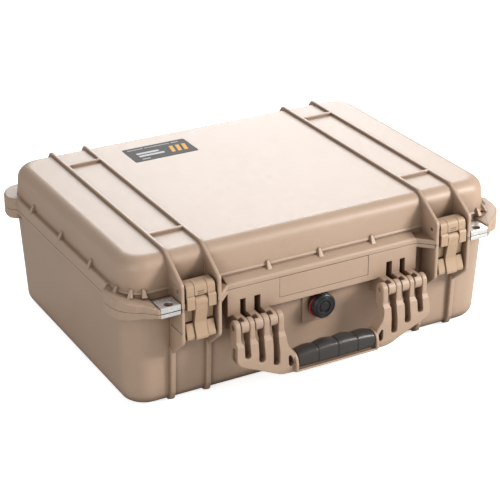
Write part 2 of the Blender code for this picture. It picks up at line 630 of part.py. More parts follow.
def make_handle():
    front, back = FRAME_Y - HANDLE_R, HANDLE_Y + HANDLE_R
    frame = plate("handle_frame", [handle_outline()], front, back, FRONT_FACING)
    axis_z = PART_Z + HANDLE_DZ
    side_view = (arc(HANDLE_Y, axis_z, HANDLE_R, 0, 180, 12)
                 + at_part([(-202.4, -54), (-208.6, -61), (-208.6, -100), (-207.1, -106),
                            (-204.6, -109), (-197.6, -109), (-194.1, -106), (-192.6, -100),
                            (-192.6, -61), (-186.4, -54)]))
    keep = plate("handle_side_view", [side_view], -0.14, 0.14, SIDE_FACING)
    boolean(frame, keep, "INTERSECT")
    removed = []
    for side in (-1, 1):
        for centre, bottom in zip(LUG_X, SLOT_BOTTOM_DZ):
            x = side * centre
            radius = SLOT_W / 2
            low = PART_Z + bottom + radius
            slot = ([(x + PRONG_SLOT / 2, PART_Z - 20 * MM), (x - PRONG_SLOT / 2, PART_Z - 20 * MM),
                     (x - PRONG_SLOT / 2, PART_Z - 54 * MM), (x - radius, PART_Z - 58 * MM)]
                    + arc(x, low, radius, 180, 360, 6)
                    + [(x + radius, PART_Z - 58 * MM), (x + PRONG_SLOT / 2, PART_Z - 54 * MM)])
            removed.append(plate(f"slot_{side}_{centre:.4f}", [slot], -0.22, -0.18, FRONT_FACING))
        eye = [(side * u * MM, v * MM + PART_Z) for u, v in
               [(62, -84), (61.6, -94), (60.5, -96.6), (58, -97.4), (55.5, -96.2), (55, -93.5),
                (57, -87.5), (60, -83)]]
        removed.append(plate(f"handle_eye_{side}", [eye], -0.22, -0.18, FRONT_FACING))
        pin_x = side * 94.5 * MM
        removed.append(bore(f"prong_bore_{side}", pin_x, 70 * MM, HANDLE_Y, HANDLE_DZ, HANDLE_PIN_R))
    core_half = 5.2 * MM
    for i, (y0, y1) in enumerate(((-0.22, FRAME_Y - core_half), (FRAME_Y + core_half, -0.18))):
        removed.append(box(f"grip_seat_{i}", (-51 * MM, y0, PART_Z - 103.5 * MM),
                           (51 * MM, y1, PART_Z - 80 * MM)))
    cut(frame, removed)
    as_part(frame, TAN, 0.5)
    set_origin(frame, (0, HANDLE_Y, axis_z))

    grip = box("handle_grip", (-50.6 * MM, FRAME_Y - 12.2 * MM, PART_Z - 103.2 * MM),
               (50.6 * MM, FRAME_Y + 11.8 * MM, PART_Z - 79 * MM), 7 * MM, 3)
    core = box("grip_core", (-60 * MM, FRAME_Y - core_half - GAP, PART_Z - 120 * MM),
               (60 * MM, FRAME_Y + core_half + GAP, PART_Z - 88.6 * MM))
    cut(grip, [core])
    as_part(grip, BLACK, 0.7)
    set_origin(grip, (0, HANDLE_Y, axis_z))

    def pin(side, word):
        made = cylinder(f"handle_pin_{word}", HANDLE_PIN_R, 59 * MM, (side * 94.5 * MM, HANDLE_Y, axis_z),
                        "X", ROUND)
        return as_part(made, STEEL, 0.3, 1.0)

    both_sides(pin)


# ---- valve ----
def make_valve():
    """Threaded body through the front wall, with a seal ring, a turning knob and an inside nut."""
    z = PART_Z + VALVE_DZ
    out = Matrix(((1, 0, 0), (0, 0, -1), (0, 1, 0)))     # profile axis points out of the front
    seat_y = -167.5 * MM - GAP
    body = turned("valve_body", [(0, 9 * MM), (8.5 * MM, 9 * MM), (8.5 * MM, 4 * MM),
                                 (16 * MM, 4 * MM), (16 * MM, 0), (7.6 * MM, 0), (7.6 * MM, -16 * MM),
                                 (0, -16 * MM)], (0, seat_y, z), out)
    as_part(body, BLACK, 0.5)
    ring = turned("valve_o_ring", [(14.8 * MM, 6.3 * MM), (15.4 * MM, 5.3 * MM), (14.8 * MM, 4.3 * MM),
                                   (12.6 * MM, 4.3 * MM), (12.0 * MM, 5.3 * MM), (12.6 * MM, 6.3 * MM),
                                   (14.8 * MM, 6.3 * MM)], (0, seat_y, z), out)
    as_part(ring, RED, 0.5)
    knob = turned("valve_knob", [(0, 14.5 * MM), (11 * MM, 14.5 * MM), (14 * MM, 13.4 * MM),
                                 (VALVE_R, 11.5 * MM), (VALVE_R, 6.7 * MM), (8.9 * MM, 6.7 * MM),
                                 (8.9 * MM, 9.4 * MM), (0, 9.4 * MM)], (0, seat_y, z), out)
    as_part(knob, BLACK, 0.45)
    inside = -16 * MM + 1 * MM
    nut = plate("valve_nut", [arc(0, z, 12 * MM, 0, 300, 5), arc(0, z, 7.9 * MM, 0, 345, 23)],
                seat_y - inside - 7 * MM, seat_y - inside - 1 * MM, FRONT_FACING)
    as_part(nut, BLACK, 0.5)


# ---- steel plates, pins, labels ----
def make_lock_plates(side, word):
    low, high = sorted((side * PLATE_X[0], side * PLATE_X[1]))
    for level, name, flange in ((1, "lid", LOCK_FLANGE_LID), (-1, "base", LOCK_FLANGE_BASE)):
        near = level * 0.45 * MM
        seat = level * (flange + GAP)
        far = seat + level * PLATE_T
        outline = [(-FRONT_Y, PART_Z + near), (-FRONT_Y, PART_Z + far), (-176 * MM, PART_Z + far),
                   (-176 * MM, PART_Z + seat), (-FRONT_Y + PLATE_T, PART_Z + seat),
                   (-FRONT_Y + PLATE_T, PART_Z + near)]
        made = plate(f"{name}_padlock_plate_{word}", [outline], low, high, SIDE_FACING)
        cut(made, [cylinder(f"{name}_plate_hole_{word}", LOCK_HOLE[2] - 0.2 * MM, 60 * MM,
                            (side * LOCK_HOLE[0], LOCK_HOLE[1], PART_Z), "Z", ROUND)])
        as_part(made, STEEL, 0.28, 1.0)


def make_hinge_pin(side, word):
    made = cylinder(f"hinge_pin_{word}", HINGE_PIN_R, 34 * MM, (side * LATCH_X, HINGE_Y, PART_Z), "X", ROUND)
    as_part(made, STEEL, 0.3, 1.0)


def make_plates():
    label = box("label_plate", (LABEL[0], LABEL[2], TOP_Z - 0.6 * MM), (LABEL[1], LABEL[3], TOP_Z + 0.1 * MM))
    as_part(label, (0.03, 0.03, 0.03, 1), 0.4)
    name_plate = box("name_plate", (-NAME_X + GAP, -FASCIA_Y + 0.2 * MM, PART_Z + NAME_DZ + GAP),
                     (NAME_X - GAP, -FASCIA_Y + 1.5 * MM, PART_Z - GAP))
    as_part(name_plate, TAN, 0.5)


make_base_shell()
make_lid_shell()
make_rim_seal()
make_foam()
both_sides(make_latch)
make_handle()
make_valve()
both_sides(make_lock_plates)
both_sides(make_hinge_pin)
make_plates()
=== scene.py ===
"""Looks of the hard equipment case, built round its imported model.

Lengths below are in millimetres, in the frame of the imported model; heights written as P + something
are counted from the parting plane, where the lid meets the base.
"""

import json
from contextlib import contextmanager
from math import cos, pi, radians, sin

import bmesh
import bpy
from mathutils import Matrix, Vector


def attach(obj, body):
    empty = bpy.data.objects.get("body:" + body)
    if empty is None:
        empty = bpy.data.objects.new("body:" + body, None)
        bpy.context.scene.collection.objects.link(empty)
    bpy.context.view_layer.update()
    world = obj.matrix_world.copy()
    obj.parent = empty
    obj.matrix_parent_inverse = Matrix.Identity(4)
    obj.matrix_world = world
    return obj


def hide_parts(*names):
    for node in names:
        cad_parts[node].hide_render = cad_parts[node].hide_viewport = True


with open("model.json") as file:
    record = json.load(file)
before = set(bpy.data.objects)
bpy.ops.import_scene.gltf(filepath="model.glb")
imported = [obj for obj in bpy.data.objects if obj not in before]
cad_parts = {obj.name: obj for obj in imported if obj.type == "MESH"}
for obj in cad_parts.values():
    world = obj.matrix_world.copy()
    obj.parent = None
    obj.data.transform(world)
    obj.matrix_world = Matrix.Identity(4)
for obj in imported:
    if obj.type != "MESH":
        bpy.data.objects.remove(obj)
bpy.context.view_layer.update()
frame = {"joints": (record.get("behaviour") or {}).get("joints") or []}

MM = 0.001
SIDES = ((-1, "left"), (1, "right"))
JOINTS = {j["name"]: Vector(j["pos_m"]) / MM for j in frame["joints"]}
HINGE_Y, P = HINGE_AXIS = tuple(JOINTS["lid_hinge"].yz)     # P is the parting plane's height
HANDLE_Y, HANDLE_Z = HANDLE_AXIS = tuple(JOINTS["handle_hinge"].yz)
VALVE_Z = JOINTS["valve_turn"].z
PINS = {"hinge": (2.2, HINGE_AXIS),       # radius and axis of each kind of pin
        "handle": (2.5, HANDLE_AXIS),
        "latch": (2.0, tuple(JOINTS["latch_left_hinge"].yz)),
        "lever": (1.6, tuple(JOINTS["lever_left_hinge"].yz))}
PIN_ROOM = 0.1
GAP = 0.3
WALL = 4.5

# ---- driving sizes ----
BODY_X, BODY_Y = 238.5, 167.5             # half size of the body at the parting plane
DRAFT_BASE, DRAFT_LID = 5.5, 3.5
CORNER_R = 28
SEAL = (237.6, 167.1, 30)                 # half size and corner of the seal line
CORD_R = 1.6
TOP = P + 51
RIB_TOP = P + 54.5
FASCIA_X, FASCIA_Y = 123, 180
FRONT_Y, BACK_Y = 196.5, 178.5
RIBS = (140.45, 184.55)                   # fins each side of a latch
RIB_T, SKID_T = 4.6, 6.5
LATCH_X = sum(RIBS) / 2
FIN_GAP = RIBS[1] - RIBS[0]
LATCH_HALF, NECK_HALF = 17.4, 7.3
FRAME_Y = -200.6                          # middle of the handle's lower frame
LUG_X = (77.1, 95.3, 112.7)
LUG_T, LUG_R = 9.6, 8.5
PRONGS = ((64.4, 71.8), (82.4, 90.0), (100.6, 107.4), (118.0, 124.6))
WINDOWS = ((82.1, 89.9), (100.5, 107.5))  # openings in the fascia above the handle's lugs
NAME_X, NAME_DROP = 58, 25                # half width and depth of the name plate's recess
PLATE_X = (187.2, 210.6)                  # padlock plates, from the outer fin to the ear
PLATE_T = 1.6
LOCK_X, LOCK_Y, LOCK_R, LOCK_BORE = 198.7, -189.6, 5.2, 5.4
LOCK_FLANGES = {"lid": (5.1, 24), "base": (3.6, 30)}   # flange thickness; free height beyond it
LABEL = (-105.5, -21.5, 84.5, 128)


# ---- outlines ----
def arc(u, v, radius, start, end, steps):
    angles = [radians(start + (end - start) * i / steps) for i in range(steps + 1)]
    return [(u + radius * cos(a), v + radius * sin(a)) for a in angles]


def rounded(half_u, half_v, radius, steps=12):
    points = []
    for side_u, side_v, start in ((1, 1, 0), (-1, 1, 90), (-1, -1, 180), (1, -1, 270)):
        points += arc(side_u * (half_u - radius), side_v * (half_v - radius), radius,
                      start, start + 90, steps)
    return points


def rectangle(u0, u1, v0, v1):
    return [(u0, v0), (u1, v0), (u1, v1), (u0, v1)]


def at_part(outline):
    return [(u, v + P) for u, v in outline]


def mirrored(outline):
    return outline + [(-u, v) for u, v in reversed(outline)]


def soften(outline, radius, steps=4):
    """Rounds the corners of an outline; a radius per point may be given."""
    count = len(outline)
    radii = radius if isinstance(radius, (list, tuple)) else [radius] * count
    made = []
    for i in range(count):
        before, here, after = (Vector(outline[(i + k) % count]) for k in (-1, 0, 1))
        back, ahead = before - here, after - here
        bend = pi - back.angle(ahead)
        if bend < radians(6) or radii[i] <= 0:
            made.append(tuple(here))
            continue
        reach = min(radii[i] * abs(sin(bend / 2) / cos(bend / 2)) if bend < pi - 0.01 else 1e9,
                    back.length * 0.48, ahead.length * 0.48)
        start, end = here + back.normalized() * reach, here + ahead.normalized() * reach
        for k in range(steps + 1):
            t = k / steps
            made.append(tuple(start * (1 - t) ** 2 + here * 2 * t * (1 - t) + end * t * t))
    return made


def anticlockwise(outline):
    area = sum(a[0] * b[1] - b[0] * a[1] for a, b in zip(outline, outline[1:] + outline[:1]))
    return outline if area > 0 else outline[::-1]


def inset(outline, distance):
    """An anticlockwise outline moved inwards, its corners mitred."""
    made = []
    count = len(outline)
    for i in range(count):
        before, here, after = (Vector(outline[(i + k) % count]) for k in (-1, 0, 1))
        a, b = (here - before).normalized(), (after - here).normalized()
        normal = Vector((-a.y - b.y, a.x + b.x)) / max(0.35, 1 + a.dot(b))
        made.append(tuple(here + normal * distance))
    return made


# ---- solids ----
def add_object(name, data):
    made = bpy.data.objects.new(name, data)
    bpy.context.scene.collection.objects.link(made)
    return made


@contextmanager
def edited(mesh):
    """Opens a mesh for bmesh operations, and writes the result back."""
    shape = bmesh.new()
    shape.from_mesh(mesh)
    yield shape
    shape.to_mesh(mesh)
    shape.free()


def mesh_object(name, points, faces):
    mesh = bpy.data.meshes.new(name)
    mesh.from_pydata([Vector(p) * MM for p in points], [], faces)
    with edited(mesh) as shape:
        bmesh.ops.recalc_face_normals(shape, faces=shape.faces)
    return add_object(name, mesh)


def skin(name, rings, ends=True):
    """A closed skin over rings of points; without ends the last ring meets the first."""
    count = len(rings[0])
    points = [p for ring in rings for p in ring]
    faces = []
    for k in range(len(rings) - 1 if ends else len(rings)):
        a, b = k * count, ((k + 1) % len(rings)) * count
        for i in range(count):
            j = (i + 1) % count
            faces.append((a + i, a + j, b + j, b + i))
    if ends:
        faces.append(tuple(range(count)))
        faces.append(tuple((len(rings) - 1) * count + i for i in range(count)))
    return mesh_object(name, points, faces)


PLACE = {"Z": lambda u, v, w: (u, v, w),          # outline in X and Y
         "X": lambda u, v, w: (w, u, v),          # outline in Y and Z
         "Y": lambda u, v, w: (u, w, v)}          # outline in X and Z


RIM_STEPS = 3


def plate(name, outline, low, high, along, rim=0.8, rim_high=None):
    """An outline given a thickness from low to high; each rim is rounded, or flares if negative."""
    outline = anticlockwise(outline)
    rims = (rim, rim if rim_high is None else rim_high)
    rings = []
    for end, size, inward in ((low, rims[0], 1), (high, rims[1], -1)):
        part = []
        for k in range(RIM_STEPS + 1 if size else 1):
            t = k / RIM_STEPS * pi / 2 if size else pi / 2
            ring = inset(outline, size * (1 - sin(t)))
            depth = end + inward * abs(size) * (1 - cos(t))
            part.append([PLACE[along](u, v, depth) for u, v in ring])
        rings += part if inward > 0 else part[::-1]
    return skin(name, rings)


def slab(name, outline, middle, half, rim):
    """An outline in Y and Z, half as thick on each side of its middle."""
    return plate(name, outline, middle - half, middle + half, "X", rim)


def block(name, low, high, rim=0.8, along="Z", corner=None):
    axes = {"Z": (0, 1, 2), "X": (1, 2, 0), "Y": (0, 2, 1)}[along]
    u0, u1 = sorted((low[axes[0]], high[axes[0]]))
    v0, v1 = sorted((low[axes[1]], high[axes[1]]))
    w0, w1 = sorted((low[axes[2]], high[axes[2]]))
    outline = rectangle(u0, u1, v0, v1)
    corner = rim * 1.25 if corner is None else corner
    if corner > 0:
        outline = soften(outline, corner)
    return plate(name, outline, w0, w1, along, rim)


def rod(name, radius, low, high, centre, along="X", rim=0.4, facets=40):
    """A round bar; centre gives its two coordinates across the bar."""
    outline = arc(centre[0], centre[1], radius, 0, 360 * (1 - 1 / facets), facets - 1)
    return plate(name, outline, low, high, along, rim)


EDGE_STEPS, WALL_STEPS, CORNER_STEPS, SIDE_STEPS = 10, 5, 14, 12


def tub(name, half_low, half_high, low, high, corner, edge, edge_at_top):
    """A drafted body with round upright corners and one rounded end."""
    levels = []
    for k in range(EDGE_STEPS + 1):
        t = k / EDGE_STEPS * pi / 2
        rise = edge * (1 - cos(t))
        levels.append((edge * (1 - sin(t)), (high - rise) if edge_at_top else (low + rise)))
    start, end = levels[-1][1], low if edge_at_top else high
    levels += [(0, start + (end - start) * k / WALL_STEPS) for k in range(1, WALL_STEPS + 1)]
    made = []
    for inward, z in levels:
        share = (z - low) / (high - low)
        half = [a + (b - a) * share - inward for a, b in zip(half_low, half_high)]
        ring = rounded(half[0], half[1], max(corner - inward * 0.75, 3), CORNER_STEPS)
        split = []
        for i, point in enumerate(ring):
            split.append(point)
            if i % (CORNER_STEPS + 1) == CORNER_STEPS:
                here, after = Vector(point), Vector(ring[(i + 1) % len(ring)])
                split += [tuple(here.lerp(after, k / SIDE_STEPS)) for k in range(1, SIDE_STEPS)]
        made.append([(x, y, z) for x, y in split])
    return skin(name, made)


AROUND_STEPS = 12


def around(name, half_x, half_y, radius, profile):
    """A closed profile of (distance outwards, height) points carried round a rounded rectangle."""
    rings = []
    for side_x, side_y, start in ((1, 1, 0), (-1, 1, 90), (-1, -1, 180), (1, -1, 270)):
        for k in range(AROUND_STEPS + 1):
            a = radians(start + 90 * k / AROUND_STEPS)
            x = side_x * (half_x - radius) + radius * cos(a)
            y = side_y * (half_y - radius) + radius * sin(a)
            rings.append([(x + d * cos(a), y + d * sin(a), z) for d, z in profile])
    return skin(name, rings, ends=False)


def turned(name, profile, centre, steps=64):
    """A closed profile of (radius, distance) turned about an axis that points out of the front."""
    rings = []
    for k in range(steps):
        a = 2 * pi * k / steps
        rings.append([(centre[0] + r * cos(a), centre[1] - h, centre[2] + r * sin(a))
                      for r, h in profile])
    made = skin(name, rings, ends=False)
    with edited(made.data) as shape:
        bmesh.ops.remove_doubles(shape, verts=shape.verts, dist=0.000001)
        bmesh.ops.dissolve_degenerate(shape, edges=shape.edges, dist=0.000001)
        bmesh.ops.recalc_face_normals(shape, faces=shape.faces)
    return made


def rounded_profile(points, radius):
    """Rounds a turned profile's corners, except the ones on its axis."""
    return soften(points, [0 if abs(u) < 0.001 else radius for u, _ in points], 3)


def combine(target, tools, operation):
    """Joins the tools to the target, or cuts them out of it, as one clean closed mesh."""
    group = bpy.data.collections.new("tools")
    for tool in tools:
        group.objects.link(tool)
    step = target.modifiers.new("combine", "BOOLEAN")
    step.operation = operation
    step.solver = "MANIFOLD"
    step.operand_type = "COLLECTION"
    step.collection = group
    bpy.context.view_layer.update()
    graph = bpy.context.evaluated_depsgraph_get()
    mesh = bpy.data.meshes.new_from_object(target.evaluated_get(graph))
    if len(mesh.polygons) < 4:
        raise RuntimeError(f"{target.name}: {operation} left nothing")
    with edited(mesh) as shape:
        bmesh.ops.triangulate(shape, faces=[f for f in shape.faces if len(f.verts) > 4])
    target.modifiers.clear()
    target.data = mesh
    for tool in tools:
        bpy.data.objects.remove(tool)
    bpy.data.collections.remove(group)
    return target


def join(target, tools):
    return combine(target, tools, "UNION")


def cut(target, tools):
    return combine(target, tools, "DIFFERENCE")


def settle(obj, name, body, nodes, material, angle=38):
    """Gives a finished piece its name, body, finish and smooth shading."""
    obj.name = name
    obj.data.name = name
    obj.data.materials.clear()
    obj.data.materials.append(material)
    for face in obj.data.polygons:
        face.use_smooth = True
    obj.data.set_sharp_from_angle(angle=radians(angle))
    normals = obj.modifiers.new("normals", "WEIGHTED_NORMAL")
    normals.keep_sharp = True
    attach(obj, body)
    if nodes:
        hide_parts(*nodes)
    return obj


def span(side, inner, outer):
    return sorted((side * inner, side * outer))


def about(middle, half):
    return middle - half, middle + half


def move_to(obj, place, turn, axis):
    """Turns a shape made at the origin by some degrees, and puts it in its place."""
    obj.data.transform(Matrix.Translation(Vector(place) * MM)
                       @ Matrix.Rotation(radians(turn), 4, axis))


# ---- materials ----
def shader(name):
    made = bpy.data.materials.new(name)
    made.use_nodes = True
    tree = made.node_tree
    return made, tree, tree.nodes["Principled BSDF"]


def node(tree, kind, **values):
    made = tree.nodes.new(kind)
    for key, value in values.items():
        if key in made.inputs:
            made.inputs[key].default_value = value
        else:
            setattr(made, key, value)
    return made


def feed(tree, value, socket):
    """Links a socket's output to another socket, or sets a plain value there."""
    if hasattr(value, "links"):
        tree.links.new(value, socket)
    else:
        socket.default_value = value


def mix(tree, blend, factor, a, b):
    made = node(tree, "ShaderNodeMix", data_type="RGBA", blend_type=blend)
    for socket, value in ((0, factor), (6, a), (7, b)):
        feed(tree, value, made.inputs[socket])
    return made.outputs[2]


def reckon(tree, operation, a, b):
    made = node(tree, "ShaderNodeMath", operation=operation)
    feed(tree, a, made.inputs[0])
    feed(tree, b, made.inputs[1])
    return made.outputs[0]


def ramp(tree, source, low, high, low_value, high_value):
    made = tree.nodes.new("ShaderNodeMapRange")
    for key, value in (("Value", source), ("From Min", low), ("From Max", high),
                       ("To Min", low_value), ("To Max", high_value)):
        feed(tree, value, made.inputs[key])
    return made.outputs["Result"]


def edge_mask(tree, radius):
    """Bright on edges, from the turn between the true normal and a rounded one."""
    bevel = node(tree, "ShaderNodeBevel", Radius=radius, samples=4)
    geometry = tree.nodes.new("ShaderNodeNewGeometry")
    turn = node(tree, "ShaderNodeVectorMath", operation="DOT_PRODUCT")
    tree.links.new(bevel.outputs[0], turn.inputs[0])
    tree.links.new(geometry.outputs["Normal"], turn.inputs[1])
    return bevel.outputs[0], ramp(tree, turn.outputs["Value"], 1.0, 0.82, 0.0, 1.0)


def at_object(tree, *textures):
    """Lays textures on the piece's own coordinates."""
    place = tree.nodes.new("ShaderNodeTexCoord").outputs["Object"]
    for texture in textures:
        tree.links.new(place, texture.inputs["Vector"])


def openness(tree, distance, low, high, darkest):
    """1 in the open and darkest in corners and slots, from ambient occlusion; it paints shade into
    colours.
    """
    occlusion = node(tree, "ShaderNodeAmbientOcclusion", Distance=distance, samples=6)
    return ramp(tree, occlusion.outputs["AO"], low, high, darkest, 1.0)


def add_bump(tree, bsdf, height, strength, distance, normal=None):
    bump = node(tree, "ShaderNodeBump", Strength=strength, Distance=distance)
    tree.links.new(height, bump.inputs["Height"])
    if normal:
        tree.links.new(normal, bump.inputs["Normal"])
    tree.links.new(bump.outputs["Normal"], bsdf.inputs["Normal"])


VARIATION = 0.035                          # how much a moulded colour wanders
ROUGHNESS_VARIATION = 0.025
CORNER_SHADE = (0.26, 0.186, 0.1268, 1)    # painted shade: what a colour is multiplied by in a deep corner


def moulded(name, colour, roughness=0.5, grain=0.00005, grain_size=0.8, edge=0.10,
            radius=0.0008, specular=0.5):
    """Moulded plastic or rubber: fine grain, faint flow marks, edges lightened for wear and a painted
    highlight, painted shade in corners.
    """
    made, tree, bsdf = shader(name)
    link = tree.links.new
    broad = node(tree, "ShaderNodeTexNoise", Scale=9.0, Detail=3.0, Roughness=0.55)
    middle = node(tree, "ShaderNodeTexNoise", Scale=140.0, Detail=4.0, Roughness=0.6)
    fine = node(tree, "ShaderNodeTexVoronoi", Scale=1000.0 / grain_size, feature="SMOOTH_F1")
    rough = node(tree, "ShaderNodeTexNoise", Scale=2600.0 / grain_size, Detail=2.0)
    at_object(tree, broad, middle, fine, rough)
    soft_normal, edges = edge_mask(tree, radius)

    tone = ramp(tree, broad.outputs["Fac"], 0.3, 0.7, *about(1, VARIATION))
    speckle = ramp(tree, middle.outputs["Fac"], 0.3, 0.7, *about(1, VARIATION * 0.45))
    pits = ramp(tree, fine.outputs["Distance"], 0.0, 0.6, 1 - VARIATION * 0.5, 1 + VARIATION * 0.3)
    value = reckon(tree, "MULTIPLY", reckon(tree, "MULTIPLY", tone, speckle), pits)
    # painted shade: the colour darkens in corners and slots, where shade falls
    painted_corner_shade = mix(tree, "MIX", openness(tree, 0.028, 0.12, 0.9, 0.0), CORNER_SHADE, (1, 1, 1, 1))
    grey = tree.nodes.new("ShaderNodeCombineColor")
    for i in range(3):
        link(value, grey.inputs[i])
    varied = mix(tree, "MULTIPLY", 1.0, (*colour, 1), grey.outputs[0])
    shade = mix(tree, "MULTIPLY", 1.0, varied, painted_corner_shade)
    # edges lightened: partly rubbed wear, partly a painted highlight along rounded edges
    wear_and_highlight_patches = ramp(tree, middle.outputs["Fac"], 0.35, 0.65, 0.2, 1.0)
    wear_and_highlight_edges = reckon(tree, "MULTIPLY", reckon(tree, "MULTIPLY", edges, wear_and_highlight_patches), edge)
    wear_and_highlight_colour = tuple(min(1.0, c + (1 - c) * 0.45) for c in colour)
    link(mix(tree, "MIX", wear_and_highlight_edges, shade, (*wear_and_highlight_colour, 1)), bsdf.inputs["Base Color"])

    link(ramp(tree, middle.outputs["Fac"], 0.3, 0.7, *about(roughness, ROUGHNESS_VARIATION)),
         bsdf.inputs["Roughness"])
    height = reckon(tree, "ADD", fine.outputs["Distance"], rough.outputs["Fac"])
    add_bump(tree, bsdf, height, 0.55, grain, soft_normal)
    bsdf.inputs["IOR"].default_value = 1.49
    bsdf.inputs["Specular IOR Level"].default_value = specular
    return made


def steel(name, colour, roughness, along, shine=1.0):
    """Stainless steel with a fine drawn grain, faint blotches, a painted highlight on its edges and
    painted shade in its holes.
    """
    made, tree, bsdf = shader(name)
    link = tree.links.new
    scale = [900.0, 900.0, 900.0]
    scale[along] = 60.0
    stretch = node(tree, "ShaderNodeMapping", Scale=scale)
    brushed = node(tree, "ShaderNodeTexNoise", Scale=2.2, Detail=5.0, Roughness=0.7)
    link(stretch.outputs[0], brushed.inputs["Vector"])
    blotch = node(tree, "ShaderNodeTexNoise", Scale=160.0, Detail=3.0)
    at_object(tree, stretch, blotch)
    soft_normal, edges = edge_mask(tree, 0.0004)
    dark = tuple(c * 0.82 for c in colour)
    shade = mix(tree, "MIX", ramp(tree, blotch.outputs["Fac"], 0.3, 0.7, 0.0, 1.0),
                (*dark, 1), (*colour, 1))
    # painted highlight: edges painted nearly white
    painted_edge_highlight = mix(tree, "MIX", edges, shade, (0.95, 0.95, 0.94, 1))
    # painted shade: the colour darkens in holes and close corners, where shade falls
    depth = openness(tree, 0.006, 0.35, 0.8, 0.02)
    link(mix(tree, "MULTIPLY", 1.0, painted_edge_highlight, depth), bsdf.inputs["Base Color"])
    bsdf.inputs["Metallic"].default_value = shine
    link(ramp(tree, brushed.outputs["Fac"], 0.3, 0.7, roughness - 0.08, roughness + 0.1),
         bsdf.inputs["Roughness"])
    add_bump(tree, bsdf, brushed.outputs["Fac"], 0.25, 0.00002, soft_normal)
    return made


def foam_material(name, colour):
    """Open-cell foam: fine pores, soft sheen, mottled grey."""
    made, tree, bsdf = shader(name)
    cells = node(tree, "ShaderNodeTexVoronoi", Scale=900.0, Randomness=1.0)
    big = node(tree, "ShaderNodeTexVoronoi", Scale=420.0, Randomness=1.0)
    cloud = node(tree, "ShaderNodeTexNoise", Scale=40.0, Detail=4.0)
    at_object(tree, cells, big, cloud)
    dark, light = (tuple(c * share for c in colour) for share in (0.35, 2.4))
    tone = mix(tree, "MIX", ramp(tree, cells.outputs["Distance"], 0.0, 0.7, 0.0, 1.0),
               (*dark, 1), (*light, 1))
    mottle = ramp(tree, cloud.outputs["Fac"], 0.3, 0.7, 0.0, 0.35)
    tree.links.new(mix(tree, "MIX", mottle, tone, (*colour, 1)), bsdf.inputs["Base Color"])
    bsdf.inputs["Roughness"].default_value = 0.95
    bsdf.inputs["Sheen Weight"].default_value = 0.35
    bsdf.inputs["Sheen Roughness"].default_value = 0.6
    total = reckon(tree, "ADD", cells.outputs["Distance"], big.outputs["Distance"])
    add_bump(tree, bsdf, total, 0.9, 0.0006)
    return made


TAN = (0.50, 0.36, 0.262)
CASE = moulded("case_plastic", TAN, 0.46, radius=0.0010, edge=0.28, specular=0.75)
LATCH = moulded("latch_plastic", (0.5, 0.35, 0.232), 0.44, radius=0.0005, grain=0.00003,
                edge=0.22)
HANDLE = moulded("handle_plastic", TAN, 0.42, radius=0.0009, grain=0.00003, edge=0.3)
NAME_PLATE = moulded("name_plate_plastic", TAN, 0.4, grain=0.00002, radius=0.0004)
RUBBER = moulded("grip_rubber", (0.05, 0.046, 0.044), 0.34, grain=0.00012, grain_size=1.5,
                 edge=0.08)
SEAL_RUBBER = moulded("seal_rubber", (0.03, 0.03, 0.032), 0.6, grain=0.00003, edge=0.04)
VALVE_PLASTIC = moulded("valve_plastic", (0.016, 0.016, 0.018), 0.36, grain=0.00003, edge=0.08,
                        radius=0.0005)
RED_RUBBER = moulded("o_ring_rubber", (0.42, 0.02, 0.03), 0.42, grain=0.00002, edge=0.05)
STEEL = steel("stainless_plate", (0.86, 0.86, 0.85), 0.26, along=1, shine=0.55)
PIN_STEEL = steel("pin_steel", (0.7, 0.7, 0.69), 0.3, along=0)
FOAM = foam_material("open_cell_foam", (0.035, 0.035, 0.038))
FOAM_PAD = foam_material("floor_pad_foam", (0.05, 0.05, 0.054))
LABEL_FILM = moulded("label_film", (0.05, 0.045, 0.042), 0.62, grain=0.00001, edge=0.2,
                     radius=0.0003, specular=0.25)
LABEL_PALE, LABEL_AMBER = (moulded(name, colour, 0.6, grain=0.00001, edge=0.02, specular=0.25)
                           for name, colour in (("label_pale_ink", (0.66, 0.65, 0.63)),
                                                ("label_amber_ink", (0.85, 0.42, 0.05))))


# ---- outlines shared by lid and base ----
def ear_front():
    return [(213, -196.2), (225, -184), (232, -180.5), (240, -174), (246.5, -165.5), (250, -154),
            (251, -140), (250.5, -136), (243, -127)]


def ear_back():
    return [(243, 132), (250.5, 141), (251, 150), (249, 160), (243, 170), (235, 176.5),
            (228, 178.5)]


def flange_outline():
    return mirrored([(FASCIA_X, -FASCIA_Y), (139, -196)] + ear_front() + ear_back())


def make_ear(name, side, at_back, depth, rim):
    """A corner ear; a front one thins from the side of the case towards the padlock plate."""
    if at_back:
        points = ear_back() + [(192, BACK_Y - 0.2), (190, 150), (215, 133)]
    else:
        points = ear_front() + [(226, -124), (212, -150)]
    outline = soften([(side * u, v) for u, v in points], 10, 5)
    up = 1 if depth > 0 else -1
    made = plate(name, outline, *sorted((P + up * GAP / 2, P + depth)), "Z", *((0.4, rim)[::up]))
    if not at_back:
        slope_x, slope_y = (0.107, 0.051) if depth > 0 else (0.195, -0.012)
        for vert in made.data.vertices:
            x, y, z = vert.co / MM
            thinner = slope_x * (abs(x) - 250) + slope_y * (y + 136)
            vert.co.z = (P + (z - P) * (1 + thinner / abs(depth))) * MM
    return made


def lid_fin_outline():
    points = at_part([(-196.5, GAP / 2), (-196.5, 25.5), (-195, 28.5), (-156, 53.4), (-152, 54.5),
                      (157, 54.5), (161, 53.4), (176.5, 34), (178.3, 30), (178.3, GAP / 2)])
    return soften(points, [0.5, 9, 9, 30, 30, 16, 16, 12, 12, 0.5], 5)


